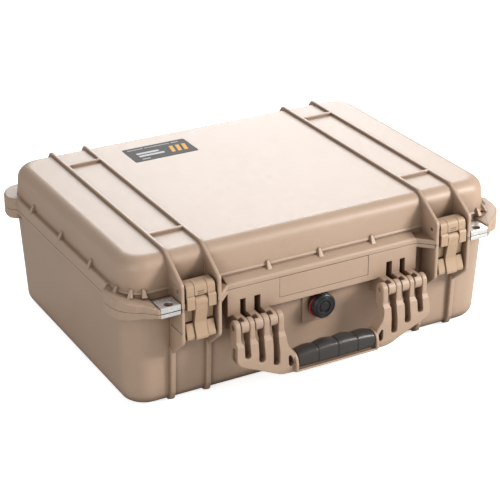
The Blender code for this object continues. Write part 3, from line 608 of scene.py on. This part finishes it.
def base_fin_outlines():
    front = at_part([(-150, -GAP / 2), (-196.5, -GAP / 2), (-196.5, -40), (-195.2, -43.6),
                     (-192, -46.5), (-166, -69), (-150, -69)])
    back = at_part([(150, -69), (164, -69), (177, -50), (178.3, -46), (178.3, -GAP / 2),
                    (150, -GAP / 2)])
    return (soften(front, [0, 0.5, 6, 6, 6, 4, 0], 5), soften(back, [0, 4, 6, 6, 0.5, 0], 5))


def skid_outline():
    half = [(-155, P - 55), (-170.6, P - 60), (-167.6, 14), (-164, 4), (-157, 0.4)]
    return soften(mirrored(half), 3)


# ---- cuts and pins shared by the moving parts ----
def bore(kind, word, low, high):
    """The hole for a pin, with room to turn."""
    radius, axis = PINS[kind]
    return rod(f"{kind}_bore_{word}", radius + PIN_ROOM, low, high, axis, rim=0)


def make_pin(kind, word, body, low, high, rim=0.5):
    radius, axis = PINS[kind]
    settle(rod("pin", radius, low, high, axis, rim=rim), f"pin_{kind}_{word}", body,
           [f"{kind}_pin_{word}"], PIN_STEEL)


def latch_pocket(side, word, low, high):
    """Clears the space between a latch's two fins."""
    x0, x1 = about(side * LATCH_X, (FIN_GAP - RIB_T) / 2)
    return block(f"pocket_{word}", (x0, -210, low), (x1, -171, high), 0, corner=0)


def lock_cuts(side, word, owner):
    """Makes room for a padlock plate on its flange, and bores the flange."""
    up = 1 if owner == "lid" else -1
    thick, reach = LOCK_FLANGES[owner]
    low, high = span(side, PLATE_X[0] - 1, PLATE_X[1] + GAP)
    far = P + up * reach
    return [block(f"lock_seat_{word}", (low, -210, P + up * thick), (high, -169, far), 0, corner=0),
            block(f"lock_front_{word}", (low, -210, P - up * 10), (high, -194.3, far), 0, corner=0),
            rod(f"lock_hole_{word}", LOCK_BORE, P - 40, P + 40, (side * LOCK_X, LOCK_Y), "Z", 0)]


# ---- base ----
def handle_mounts():
    """The round-nosed lugs that reach out under the fascia and carry the handle."""
    made = []
    nose = arc(HANDLE_Y, HANDLE_Z, LUG_R, 90, 270, 20)
    outline = [(-160, HANDLE_Z + LUG_R)] + nose + at_part([(-182, -48.5), (-160, -58)])
    for side, word in SIDES:
        for i, lug_x in enumerate(LUG_X):
            made.append(slab(f"lug_{word}_{i}", outline, side * lug_x, LUG_T / 2, 0.9))
    return made


def hinge_knuckles(owner, spans, height):
    made = []
    arm = at_part([(160, 26 * height), (HINGE_Y + 4.1, 4.1 * height), (HINGE_Y - 1, 0),
                   (181, height), (160, 2 * height)])
    for side, word in SIDES:
        for i, (inner, outer) in enumerate(spans):
            low, high = span(side, inner, outer)
            made.append(plate(f"{owner}_knuckle_{word}_{i}", arm, low + 0.1, high - 0.1, "X", 0.5))
            made.append(rod(f"{owner}_barrel_{word}_{i}", 6, low, high, (HINGE_Y, P), rim=0.6))
    return made


def gusset(name, x, y, turn, low, high):
    """A small pyramid in the corner of wall and flange; turn is the way it faces, in degrees."""
    rings = []
    for share, swell in ((-0.15, 1.12), (0, 1), (0.5, 0.62), (0.85, 0.34), (0.97, 0.22)):
        reach, half = 6.4 * swell, 2.9 * (0.35 + 0.65 * swell)
        outline = soften([(-half, 6), (-half, -reach), (half, -reach), (half, 6)], [0, 1, 1, 0], 3)
        rings.append([(u, v, low + (high - low) * share) for u, v in outline])
    made = skin(name, rings)
    move_to(made, (x, y, 0), turn, "Z")
    return made


def make_base():
    top = P - GAP / 2
    shell = tub("base", (BODY_X - DRAFT_BASE, BODY_Y - DRAFT_BASE), (BODY_X, BODY_Y), 0, top,
                CORNER_R, 14, False)
    added = [plate("flange", soften(flange_outline(), 4), P - 5, top, "Z", 1.2, 0.7)]
    for side, word in SIDES:
        for at_back in (False, True):
            added.append(make_ear(f"ear_{word}_{at_back}", side, at_back, -12, 2.0))
        for x in RIBS:
            for i, outline in enumerate(base_fin_outlines()):
                added.append(slab(f"fin_{word}_{x}_{i}", outline, side * x, RIB_T / 2, 1.5))
            added.append(slab(f"skid_{word}_{x}", skid_outline(), side * x, SKID_T / 2, 1.8))
    fascia = at_part([(-160, -GAP / 2), (-FASCIA_Y, -GAP / 2), (-FASCIA_Y, -33), (-160, -33)])
    added.append(slab("fascia", soften(fascia, [0, 0.8, 1.2, 0]), 0, FASCIA_X, 0.5))
    added += handle_mounts()
    pad = soften(rectangle(-21, 21, P - 72, P - 15), 2)
    added.append(plate("valve_pad", pad, -BODY_Y - 0.3, -155, "Y", 0.25, 0))
    added += hinge_knuckles("base", [(146, 153.7), (171.3, 179)], -1)
    for side, word in SIDES:
        added.append(rod(f"catch_bar_{word}", 3.5, *about(side * LATCH_X, FIN_GAP / 2),
                         (-180, P - 27), rim=0))
        web = rectangle(-180, -155, P - 29, P - 25)
        added.append(slab(f"catch_web_{word}", web, side * LATCH_X, FIN_GAP / 2, 0))
    join(shell, added)

    removed = [tub("cavity", (BODY_X - DRAFT_BASE - WALL, BODY_Y - DRAFT_BASE - WALL),
                   (BODY_X - WALL, BODY_Y - WALL), WALL, P + 6, CORNER_R - WALL, 10, False)]
    for side, word in SIDES:
        removed.append(latch_pocket(side, word, P - 16, P + 6))
        for i, window in enumerate(WINDOWS):
            low, high = span(side, *window)
            removed.append(block(f"window_{word}_{i}", (low, -190, P - 34),
                                 (high, -168.2, P - 14.5), 0, "Y", 0.5))
        removed.append(bore("handle", word, *span(side, 64, 126)))
        removed.append(bore("hinge", word, *about(side * LATCH_X, 30)))
        removed += lock_cuts(side, word, "base")
        for i, lug_x in enumerate(LUG_X):
            left = side * lug_x - LUG_T / 2
            removed.append(block(f"notch_{word}_{i}", (left - 2, HANDLE_Y - 4.2, HANDLE_Z + 4.5),
                                 (left + 5.4, HANDLE_Y + 4.2, HANDLE_Z + 12), 0, corner=0.6))
    removed.append(rod("valve_hole", 8, -190, -130, (0, VALVE_Z), "Y", 0, 48))
    recess = soften(rectangle(-NAME_X, NAME_X, P - NAME_DROP, P + 5), 0.8)
    removed.append(plate("name_recess", recess, -190, -FASCIA_Y + 1.8, "Y", 0))
    cut(shell, removed)
    tongue = [(-1, -1.5), (1, -1.5), (1, 1.2), (0.5, 1.75), (-0.5, 1.75), (-1, 1.2)]
    join(shell, [around("tongue", *SEAL, [(d, P + h) for d, h in tongue])])
    return settle(shell, "case_base", "base", ["base_shell"], CASE)


# ---- lid ----
def lid_gussets():
    made = []
    for x in (-66, 0, 69):
        made.append(gusset(f"gusset_front_{x}", x, -BODY_Y + 1, 0, P + 10, P + 18))
        made.append(gusset(f"gusset_back_{x}", x, BODY_Y - 1, 180, P + 11, P + 19))
    for side, word in SIDES:
        for y in (88, 3, -80):
            made.append(gusset(f"gusset_{word}_{y}", side * (BODY_X - 1), y, 90 * side, P + 14.5,
                               P + 23))
        corner = Vector((side * (BODY_X - CORNER_R), -BODY_Y + CORNER_R))
        for turn in (12, 40, 78):
            out = Vector((sin(radians(turn)) * side, -cos(radians(turn)))) * (CORNER_R - 1)
            made.append(gusset(f"gusset_corner_{word}_{turn}", corner.x + out.x, corner.y + out.y,
                               turn * side, P + 12, P + 19))
    return made


def make_lid():
    foot = P + GAP / 2
    shell = tub("lid", (BODY_X, BODY_Y), (BODY_X - DRAFT_LID, BODY_Y - DRAFT_LID), foot, TOP,
                CORNER_R, 14, True)
    added = [plate("flange", soften(flange_outline(), 4), foot, P + 6, "Z", 0.7, 1.6)]
    side_band = [(222, -129), (242.9, -129), (242.9, 134), (222, 134)]
    for side, word in SIDES:
        outline = [(side * u, v) for u, v in side_band]
        added.append(plate(f"side_band_{word}", outline, foot, P + 15, "Z", 0.4, 2.2))
        for at_back in (False, True):
            added.append(make_ear(f"ear_{word}_{at_back}", side, at_back, 14, 2.4))
        for x in RIBS:
            added.append(slab(f"fin_{word}_{x}", lid_fin_outline(), side * x, RIB_T / 2, 1.5))
        for y in (-111, 111):
            bar = soften(rectangle(*about(y, RIB_T / 2), TOP - 2, RIB_TOP - 0.2), 1.2)
            added.append(slab(f"cross_rib_{word}_{y}", bar, side * LATCH_X, FIN_GAP / 2, 0))
    band = at_part([(-160, GAP / 2), (-FASCIA_Y - 0.1, GAP / 2), (-FASCIA_Y - 0.1, 3.5),
                    (-178.5, 6.5), (-168.6, 10.4), (-160, 10.4)])
    added.append(slab("front_band", soften(band, [0, 0.8, 2, 2, 1.2, 0]), 0, FASCIA_X, 1.2))
    band = at_part([(160, GAP / 2), (BACK_Y - 0.1, GAP / 2), (BACK_Y - 0.1, 8), (167, 12),
                    (160, 12)])
    added.append(slab("back_band", soften(band, [0, 0.4, 2, 1, 0]), 0, 200, 1.2))
    bead = [(-2, 11.7), (0.6, 11.7), (1.15, 12.3), (1.15, 12.9), (0.5, 14.2), (-0.6, 15.2),
            (-2, 15.6)]
    added.append(around("bead", BODY_X - 1, BODY_Y - 1, CORNER_R, [(d, P + h) for d, h in bead]))
    added += lid_gussets()
    added += hinge_knuckles("lid", [(154.1, 170.9)], 1)
    join(shell, added)

    removed = [tub("cavity", (BODY_X - WALL, BODY_Y - WALL),
                   (BODY_X - DRAFT_LID - WALL, BODY_Y - DRAFT_LID - WALL), P - 6, TOP - WALL,
                   CORNER_R - WALL, 10, True),
               around("seal_groove", *SEAL,
                      [(-2.1, P - 3), (2.1, P - 3), (2.1, P + 5.6), (-2.1, P + 5.6)])]
    for side, word in SIDES:
        removed.append(latch_pocket(side, word, P - 6, P + 30))
        removed.append(bore("latch", word, *about(side * LATCH_X, 40)))
        removed.append(bore("hinge", word, *about(side * LATCH_X, 30)))
        removed += lock_cuts(side, word, "lid")
    x0, x1, y0, y1 = LABEL
    recess = soften(rectangle(x0 - GAP, x1 + GAP, y0 - GAP, y1 + GAP), 2.5)
    removed.append(plate("label_recess", recess, TOP - 0.9, TOP + 5, "Z", 0))
    cut(shell, removed)
    return settle(shell, "case_lid", "lid", ["lid_shell"], CASE)


# ---- latches ----
def make_latch(side, word):
    x = side * LATCH_X
    body = at_part([(-176, 14), (-178, 11.1), (-194.2, 11.1), (-195.2, 12.6), (-195, 19),
                    (-193.8, 23), (-190.5, 25), (-179, 25), (-176, 22)])
    body = soften(body, [1, 1, 0.6, 1, 6, 5, 5, 3, 3], 5)
    clamp = slab(f"clamp_{word}", body, x, LATCH_HALF, 1.0)
    arm = at_part([(-184, 14), (-184, -19), (-185, -21.5), (-187.9, -21.5), (-188.4, -20.5),
                   (-190.6, -4.8), (-197, -3.6), (-197.4, -3), (-197.4, 9.6), (-196, 11.4),
                   (-194.6, 12.2), (-194.2, 14)])
    arm = soften(arm, [0, 0, 1, 1, 1, 1, 1, 1, 1.5, 1.5, 0.6, 0.4])
    join(clamp, [plate(f"arm_{word}_{i}", arm, x + low, x + high, "X", 0.5)
                 for i, (low, high) in enumerate(((-LATCH_HALF, -NECK_HALF - 0.5),
                                                  (NECK_HALF + 0.5, LATCH_HALF)))])
    seam = at_part([(-198, 10), (-198, 28), (-184, 28), (-184, 24.5), (-190.4, 24.4),
                    (-193.3, 22.4), (-194.4, 18.8), (-194.5, 13.4), (-193.6, 11)])
    removed = [bore("latch", word, *about(x, 30)), bore("lever", word, *about(x, 30))]
    for i, offset in enumerate((-7.5, 7.5)):
        removed.append(slab(f"seam_{word}_{i}", seam, x + offset, 0.3, 0))
    for i, height in enumerate((P + 13.6, P + 15.8)):
        removed.append(block(f"line_{word}_{i}", (x - 4, -200, height),
                             (x + 4, -194.4, height + 0.8), 0, corner=0))
    cut(clamp, removed)
    settle(clamp, f"toggle_clamp_{word}", f"latch_{word}", [f"latch_clamp_{word}"], LATCH)

    neck = at_part([(-196.9, 2), (-196.5, -4), (-192.7, -22), (-193.4, -26), (-197.6, -37.6),
                    (-197, -40.6), (-194.5, -41.5), (-189, -39.5), (-185.8, -33), (-185, -26),
                    (-184.2, -4), (-184.9, 4)])
    neck = soften(neck, [1, 2, 6, 6, 1.5, 1.5, 1.5, 3, 4, 4, 1, 1])
    lever = slab(f"lever_{word}", neck, x, NECK_HALF, 0.7)
    lip = at_part([(-186, -22.3), (-190.5, -22.3), (-191.2, -25), (-195.6, -37), (-195.2, -40),
                   (-193, -41.2), (-189.2, -39.3), (-186.2, -33)])
    lip = soften(lip, [1, 1, 5, 1.5, 1.5, 1.5, 3, 4])
    claw = at_part([(-190, -20), (-188, -20), (-184.4, -23), (-184.4, -30.5), (-186.5, -32),
                    (-190, -31)])
    join(lever, [rod(f"lever_barrel_{word}", 7.2, *about(x, NECK_HALF), PINS["lever"][1],
                     rim=0.5, facets=64),
                 slab(f"lip_{word}", lip, x, LATCH_HALF, 1.0),
                 slab(f"claw_{word}", claw, x, 7, 0.5)])
    removed = [bore("lever", word, *about(x, 30))]
    for i, middle in enumerate(about(x, NECK_HALF + 0.35)):
        low, high = about(middle, 0.35)
        removed.append(block(f"lip_seam_{word}_{i}", (low, -200, P - 45), (high, -189.6, P - 20), 0,
                             corner=0))
    cut(lever, removed)
    settle(lever, f"toggle_lever_{word}", f"lever_{word}", [f"latch_lever_{word}"], LATCH)

    make_pin("latch", word, "lid", x - 23, x + 23)
    make_pin("lever", word, f"latch_{word}", x - 17, x + 17, 0.4)


# ---- handle ----
def frame_outline():
    half = [(0, -107.3), (50, -107), (68, -105.8), (74, -104), (92, -95.5), (116, -85),
            (123, -81.5), (126.4, -76.5), (126, -70), (124.8, -60), (124.6, -52), (64.4, -52),
            (63.6, -66), (61, -73), (57, -78), (53.5, -84), (51.5, -89), (0, -89)]
    radii = [0, 30, 20, 10, 20, 20, 7, 7, 7, 20, 0, 0, 10, 10, 10, 4, 2, 0]
    whole = at_part(half + [(-u, v) for u, v in reversed(half[1:-1])])
    return soften(whole, radii + radii[1:-1][::-1], 5)


def make_handle():
    carry = plate("frame", frame_outline(), FRAME_Y - 8.02, HANDLE_Y + 8.02, "Y", 1.6)
    view = at_part([(-186.4, -48), (-202.4, -48), (-202.4, -54.5), (-206, -58.5), (-208.6, -76),
                    (-208.6, -100), (-207.1, -106), (-204.6, -109), (-197.6, -109), (-194.1, -106),
                    (-192.6, -100), (-192.6, -61), (-186.4, -54)])
    view = soften(view, [0, 0, 2.5, 2.5, 10, 4, 3, 2, 2, 3, 4, 3, 3])
    combine(carry, [slab("side_view", view, 0, 140, 0)], "INTERSECT")
    removed, through = [], (FRAME_Y - 8.03, HANDLE_Y + 8.03)
    for side, word in SIDES:
        for i, (centre, bottom) in enumerate(zip(LUG_X, (-91.5, -83, -74))):
            x = side * centre
            slot = [(x + 5.3, P - 40), (x - 5.3, P - 40), (x - 5.3, P - 54), (x - 3.8, P - 59),
                    *arc(x, P + bottom + 3.8, 3.8, 180, 360, 12),
                    (x + 3.8, P - 59), (x + 5.3, P - 54)]
            radii = [0, 0, 2, 3] + [0] * 13 + [3, 2]
            removed.append(plate(f"slot_{word}_{i}", soften(slot, radii), *through, "Y", -1.3))
        eye = [(side * u, v + P) for u, v in ((62, -84), (61.6, -94), (60.5, -96.6), (58, -97.4),
                                              (55.5, -96.2), (55, -93.5), (57, -87.5), (60, -83))]
        removed.append(plate(f"eye_{word}", soften(eye, 2), *through, "Y", -1.0))
    cut(carry, removed)

    added = []
    prong = [(HANDLE_Y + 8, P - 58), *arc(HANDLE_Y, HANDLE_Z, 8, 0, 180, 24),
             (HANDLE_Y - 8, P - 58), (-199, P - 66), (-194, P - 66)]
    collar = at_part([(-190, -107), (-189.5, -90), (-193, -85), (-200, -82.6), (-206.5, -84),
                      (-211, -88.5), (-213, -95), (-213, -101), (-211.5, -105.5), (-206, -107.2)])
    lip = at_part([(-196, -103), (-211.4, -103), (-212, -103.8), (-211.4, -105.4), (-207, -107.3),
                   (-193, -107.3), (-190, -104)])
    for side, word in SIDES:
        for i, (inner, outer) in enumerate(PRONGS):
            added.append(plate(f"prong_{word}_{i}", prong, *span(side, inner, outer), "X", 1.5))
        added.append(plate(f"collar_{word}", soften(collar, [2, 5, 5, 6, 6, 6, 5, 4, 3, 2], 5),
                           *span(side, 50.9, 54.8), "X", 1.4))
    added.append(slab("lip", soften(lip, [0, 0.5, 0.8, 1, 1.5, 2, 1]), 0, 53, 0.4))
    join(carry, added)
    removed = []
    hollow = at_part([(-203, -62), (-195.5, -62), (-195.5, -74), (-198, -80), (-203, -82),
                      (-205.5, -78), (-205.5, -68)])
    for side, word in SIDES:
        removed.append(bore("handle", word, *span(side, 60, 130)))
        removed.append(rod(f"counterbore_{word}", 3.4, *span(side, 123.4, 130), HANDLE_AXIS, rim=0))
        removed.append(plate(f"hollow_{word}", soften(hollow, 2), *span(side, 122.6, 130), "X", 0))
    cut(carry, removed)
    settle(carry, "carry_frame", "handle", ["handle_frame"], HANDLE)
    for side, word in SIDES:
        make_pin("handle", word, "base", *about(side * 94.5, 29.5))


GRIP_HALF, GRIP_FACETS, GRIP_SLICES = 50.6, 72, 240
GRIP_SQUARENESS = 2 / 2.9                 # 1 gives an oval section, and less a boxier one
GRIP_LINES = (-25, 0.7, 26.4)             # the rings between the fingers
RING_WIDTH = RING_DEPTH = 0.75
END_LENGTH = 2.2
FINGER_DEPTH = 1.5


def make_grip():
    """Crowned rubber round the bar, with rings between the fingers and a scalloped back."""
    rings = []
    pitch = GRIP_LINES[2] - GRIP_LINES[1]
    for k in range(GRIP_SLICES + 1):
        x = -GRIP_HALF + 2 * GRIP_HALF * k / GRIP_SLICES
        crown = 1 - (x / GRIP_HALF) ** 2
        top, bottom = -83.4 + 3.9 * crown, -103.2
        front, back = -211.0 - 1.3 * crown, -188.9
        near = min(abs(x - line) for line in GRIP_LINES)
        end = max(0, (abs(x) - GRIP_HALF + END_LENGTH) / END_LENGTH)
        shrink = (RING_DEPTH * max(0, 1 - (near / RING_WIDTH) ** 2)
                  + 1.3 * (1 - (1 - end * end) ** 0.5))
        finger = (0.5 - 0.5 * cos(2 * pi * (x - GRIP_LINES[1]) / pitch)) ** 0.6
        ring = []
        for j in range(GRIP_FACETS):
            a = 2 * pi * j / GRIP_FACETS
            y, z = (abs(t) ** GRIP_SQUARENESS * (1 if t > 0 else -1) for t in (cos(a), sin(a)))
            behind = max(0.0, cos(a - radians(60)))
            less = shrink + FINGER_DEPTH * (1 - finger) * behind ** 2
            ring.append((x, (front + back) / 2 + y * ((back - front) / 2 - less),
                         P + (top + bottom) / 2 + z * ((top - bottom) / 2 - less)))
        rings.append(ring)
    grip = skin("grip", rings)
    settle(grip, "carry_grip", "handle", ["handle_grip"], RUBBER, 50)


# ---- valve ----
def make_valve():
    seat = -BODY_Y - GAP
    centre = (0, seat, VALVE_Z)
    body = [(0, 9), (8.5, 9), (8.5, 3), (14.6, 3), (14.6, 0), (7.6, 0)]
    for i in range(9):
        body += [(7.6, -2 - i * 1.5), (7.0, -2.75 - i * 1.5)]
    body += [(7.0, -16), (0, -16)]
    settle(turned("body", rounded_profile(body, 0.5), centre), "purge_body", "base", ["valve_body"],
           VALVE_PLASTIC)
    ring = arc(13.2, 4.8, 1.5, 0, 337.5, 15)
    settle(turned("ring", ring, (-0.8, seat, VALVE_Z - 1.8)), "purge_ring", "base",
           ["valve_o_ring"], RED_RUBBER)
    knob = [(0, 14.2), (4.5, 14.1), (6.0, 13.9), (6.2, 12.9), (7.2, 12.9), (7.4, 14.5),
            (10.6, 14.5), (10.9, 13.6), (11.7, 13.5), (11.9, 14.2), (13.1, 13.9), (14.6, 12.6),
            (14.6, 11), (14.1, 10.7), (14.1, 10.1), (14.6, 9.8), (14.6, 8.9), (14.1, 8.6),
            (14.1, 8.2), (14.4, 7.9), (13.6, 6.7), (8.9, 6.7), (8.9, 9.4), (0, 9.4)]
    knob = turned("knob", rounded_profile(knob, 0.3), centre, 96)
    marks = []
    for i, turn in enumerate((40, 220)):
        mark = block(f"mark_{i}", (-0.5, seat - 14.9, 8.2), (0.5, seat - 14.2, 10.6), 0, corner=0)
        move_to(mark, (0, 0, VALVE_Z), turn, "Y")
        marks.append(mark)
    for i in range(24):
        notch = rod(f"notch_{i}", 0.7, seat - 16, seat - 11.8, (14.9, 0), "Y", 0, 12)
        move_to(notch, (0, 0, VALVE_Z), 15 * i, "Y")
        marks.append(notch)
    cut(knob, marks)
    settle(knob, "purge_knob", "valve", ["valve_knob"], VALVE_PLASTIC)
    nut = plate("nut", soften(arc(0, VALVE_Z, 12, 0, 300, 5), 1.2), seat + 9, seat + 15, "Y", 0.8)
    cut(nut, [rod("nut_bore", 7.9, seat, seat + 20, (0, VALVE_Z), "Y", 0, 48)])
    settle(nut, "purge_nut", "base", ["valve_nut"], VALVE_PLASTIC)


# ---- plates, pins, label ----
def make_lock_plate(side, word, owner):
    up = 1 if owner == "lid" else -1
    seat = LOCK_FLANGES[owner][0] + GAP
    far = seat + PLATE_T
    inner_y = -FRONT_Y + PLATE_T
    outline = [(y, P + up * height) for y, height in
               ((-FRONT_Y, 0.45), (-FRONT_Y, far), (-176, far), (-176, seat), (inner_y, seat),
                (inner_y, 0.45))]
    made = plate("lock", soften(outline, [0.4, 1.6, 0.4, 0.4, 0.6, 0.4], 5), *span(side, *PLATE_X),
                 "X", 0.35)
    hole = plate("hole", arc(side * LOCK_X, LOCK_Y, LOCK_R, 0, 350, 35),
                 *sorted((P + up * (seat - 0.01), P + up * (far + 0.01))), "Z", -0.5)
    cut(made, [hole])
    settle(made, f"lock_plate_{owner}_{word}", owner, [f"{owner}_padlock_plate_{word}"],
           STEEL)


def print_label(name, outlines, corner, material):
    """Thin shapes that lie on the label's film, as one piece."""
    bars = [plate(f"{name}_{i}", soften(outline, corner), TOP + 0.05, TOP + 0.14, "Z", 0)
            for i, outline in enumerate(outlines)]
    join(bars[0], bars[1:])
    settle(bars[0], name, "lid", [], material)


def make_label():
    """A plain label: pale bars and three slanted stripes, with no lettering."""
    x0, x1, y0, y1 = LABEL
    film = plate("film", soften(rectangle(x0, x1, y0, y1), 5), TOP - 0.6, TOP + 0.1, "Z", 0.15)
    settle(film, "label_film", "lid", ["label_plate"], LABEL_FILM)
    bars = [rectangle(x0 + 5, x0 + 26, y1 - 6.5, y1 - 5),
            rectangle(x0 + 28, x0 + 62, y1 - 6.5, y1 - 5),
            rectangle(x0 + 64, x1 - 10, y1 - 6.5, y1 - 5),
            rectangle(x0 + 11, x0 + 41, y0 + 21, y0 + 26),
            rectangle(x0 + 11, x0 + 45, y0 + 13, y0 + 18),
            rectangle(x0 + 11, x0 + 22, y0 + 5, y0 + 7)]
    print_label("label_bars", bars, 0.7, LABEL_PALE)
    stripes = [[(u, y0 + 10), (u + 5, y0 + 10), (u + 9, y0 + 29), (u + 4, y0 + 29)]
               for u in (x0 + 53, x0 + 61.5, x0 + 70)]
    print_label("label_stripes", stripes, 0.6, LABEL_AMBER)


def make_small_parts():
    for side, word in SIDES:
        for owner in ("lid", "base"):
            make_lock_plate(side, word, owner)
        make_pin("hinge", word, "base", *about(side * LATCH_X, 17))
    half = NAME_X - GAP
    panel = plate("panel", soften(rectangle(-half, half, P - NAME_DROP + GAP, P - 0.35), 0.7),
                  -FASCIA_Y + 0.2, -FASCIA_Y + 1.5, "Y", 0.35)
    settle(panel, "blank_panel", "base", ["name_plate"], NAME_PLATE)
    tongue_top = P - GAP / 2 + 1.9
    cord = arc(0, tongue_top + GAP + CORD_R, CORD_R, 0, 337.5, 15)
    settle(around("cord", *SEAL, cord), "seal_cord", "lid", ["rim_seal"], SEAL_RUBBER)


# ---- foam ----
BLOCK_X, BLOCK_Y = 224, 157.5             # half size of the foam in the base and the lid
SPACE_X, SPACE_Y = 150, 92                # half size of the space plucked out of it
CELL = 12.5                               # pitch of the cubes
CELL_SHIFT = -0.64                        # where the first cube starts from front to back
SLIT = 0.35


def make_base_foam():
    """Pick-and-pluck block over a pad, with an empty space."""
    pad = plate("pad", rounded(BLOCK_X - 9.5, BLOCK_Y - 10, 18), 4.8, 16.8, "Z", 1.2)
    settle(pad, "foam_pad", "base", ["floor_pad"], FOAM_PAD)

    low, top = 17.1, P - 3
    core = plate("pluck", rounded(BLOCK_X, BLOCK_Y, 25), low, top, "Z", 1.0)
    removed = [block("space", (-SPACE_X, -SPACE_Y, 0), (SPACE_X, SPACE_Y, P + 5), 0, corner=0.5),
               block("valve_notch", (-15, -170, VALVE_Z - 15), (15, -145, P + 5), 0, corner=0)]
    groove = [(-1.3, top + 0.6), (1.3, top + 0.6), (0.45, top - 0.9), (0.3, top - 2.5),
              (-0.3, top - 2.5), (-0.45, top - 0.9)]
    for i in range(-17, 18):
        line = [(i * CELL + u, v) for u, v in groove]
        removed.append(plate(f"across_{i}", line, -158, 158, "Y", 0))
    for i in range(-12, 13):
        line = [((i + CELL_SHIFT) * CELL + u, v) for u, v in groove]
        removed.append(plate(f"along_{i}", line, -226, 226, "X", 0))
    for i in range(-12, 13):
        x0, x1 = about(i * CELL, SLIT)
        removed.append(block(f"wall_{i}", (x0, -SPACE_Y - 1, low - 1),
                             (x1, SPACE_Y + 1, top + 1), 0, corner=0))
    for i in range(-6, 8):
        y0, y1 = about((i + CELL_SHIFT) * CELL, SLIT)
        removed.append(block(f"end_{i}", (-SPACE_X - 1, y0, low - 1),
                             (SPACE_X + 1, y1, top + 1), 0, corner=0))
    cut(core, removed)
    settle(core, "pluck_foam", "base", ["foam_block"], FOAM)


def make_lid_foam():
    """Convoluted foam: a waved sheet, cut to the shape of the lid's cavity."""
    high, peak, depth, pitch, step = TOP - WALL - GAP, P + 12.2, 20, 45.0, 4.5
    along = [i * step for i in range(-52, 53)]
    rings = []
    for j in range(-36, 37):
        y = j * step
        hollow = [0.5 - 0.25 * (cos(2 * pi * x / pitch) + cos(2 * pi * y / pitch)) for x in along]
        rings.append([(x, y, peak + depth * h ** 1.15) for x, h in zip(along, hollow)]
                     + [(x, y, high + 2) for x in reversed(along)])
    waves = skin("waves", rings)
    shape = tub("egg", (BLOCK_X, BLOCK_Y), (BLOCK_X - 3, BLOCK_Y - 3), peak, high, 25, 16, True)
    combine(shape, [waves], "INTERSECT")
    settle(shape, "egg_foam", "lid", ["lid_foam"], FOAM, 70)


make_base()
make_lid()
for each_side, each_word in SIDES:
    make_latch(each_side, each_word)
make_handle()
make_grip()
make_valve()
make_label()
make_small_parts()
make_base_foam()
make_lid_foam()


# ---- stage, light and camera ----
def make_stage():
    size = 40 / MM
    floor = mesh_object("floor", [(-size, -size, -GAP), (size, -size, -GAP), (size, size, -GAP),
                                  (-size, size, -GAP)], [(0, 1, 2, 3)])
    made, tree, bsdf = shader("pale_floor")
    path = tree.nodes.new("ShaderNodeLightPath").outputs["Is Camera Ray"]
    tree.links.new(mix(tree, "MIX", path, (0.62, 0.61, 0.6, 1), (0.95, 0.95, 0.95, 1)),
                   bsdf.inputs["Base Color"])
    bsdf.inputs["Roughness"].default_value = 0.95
    bsdf.inputs["Specular IOR Level"].default_value = 0.0
    bsdf.inputs["Emission Color"].default_value = (1, 1, 1, 1)
    tree.links.new(ramp(tree, path, 0, 1, 0, 0.74), bsdf.inputs["Emission Strength"])
    floor.data.materials.append(made)


AIM = Vector((0, 0, 0.1))                 # what the lights point at, in metres


def area_light(name, place, size, power, colour):
    data = bpy.data.lights.new(name, "AREA")
    data.shape = "DISK"
    data.size = size
    data.energy = power
    data.color = colour
    made = add_object(name, data)
    made.location = place
    made.rotation_euler = (AIM - Vector(place)).to_track_quat("-Z", "Y").to_euler()


def make_light():
    world = bpy.data.worlds.new("studio")
    world.use_nodes = True
    tree = world.node_tree
    background = tree.nodes["Background"]
    background.inputs["Color"].default_value = (1, 1, 1, 1)
    path = tree.nodes.new("ShaderNodeLightPath").outputs["Is Camera Ray"]
    tree.links.new(ramp(tree, path, 0, 1, 0.36, 1.0), background.inputs["Strength"])
    bpy.context.scene.world = world
    area_light("key", (1.0, -1.0, 0.78), 0.55, 19, (1, 0.97, 0.94))
    area_light("sheen", (1.1, 2.0, 1.25), 1.7, 46, (0.94, 0.97, 1.0))
    area_light("fill", (-1.7, -1.4, 0.9), 0.9, 12, (1, 0.95, 0.9))
    bpy.context.scene.view_settings.view_transform = "Standard"


def make_camera():
    data = bpy.data.cameras.new("camera")
    data.lens = 116.6
    data.sensor_width = 36
    made = add_object("camera", data)
    turn = (Matrix.Rotation(radians(-28.6), 4, "Z") @ Matrix.Rotation(radians(64.568), 4, "X")
            @ Matrix.Rotation(radians(-0.298), 4, "Z"))
    made.matrix_world = Matrix.Translation((-0.8495, -1.5641, 0.9217)) @ turn
    bpy.context.scene.camera = made


make_stage()
make_light()
make_camera()
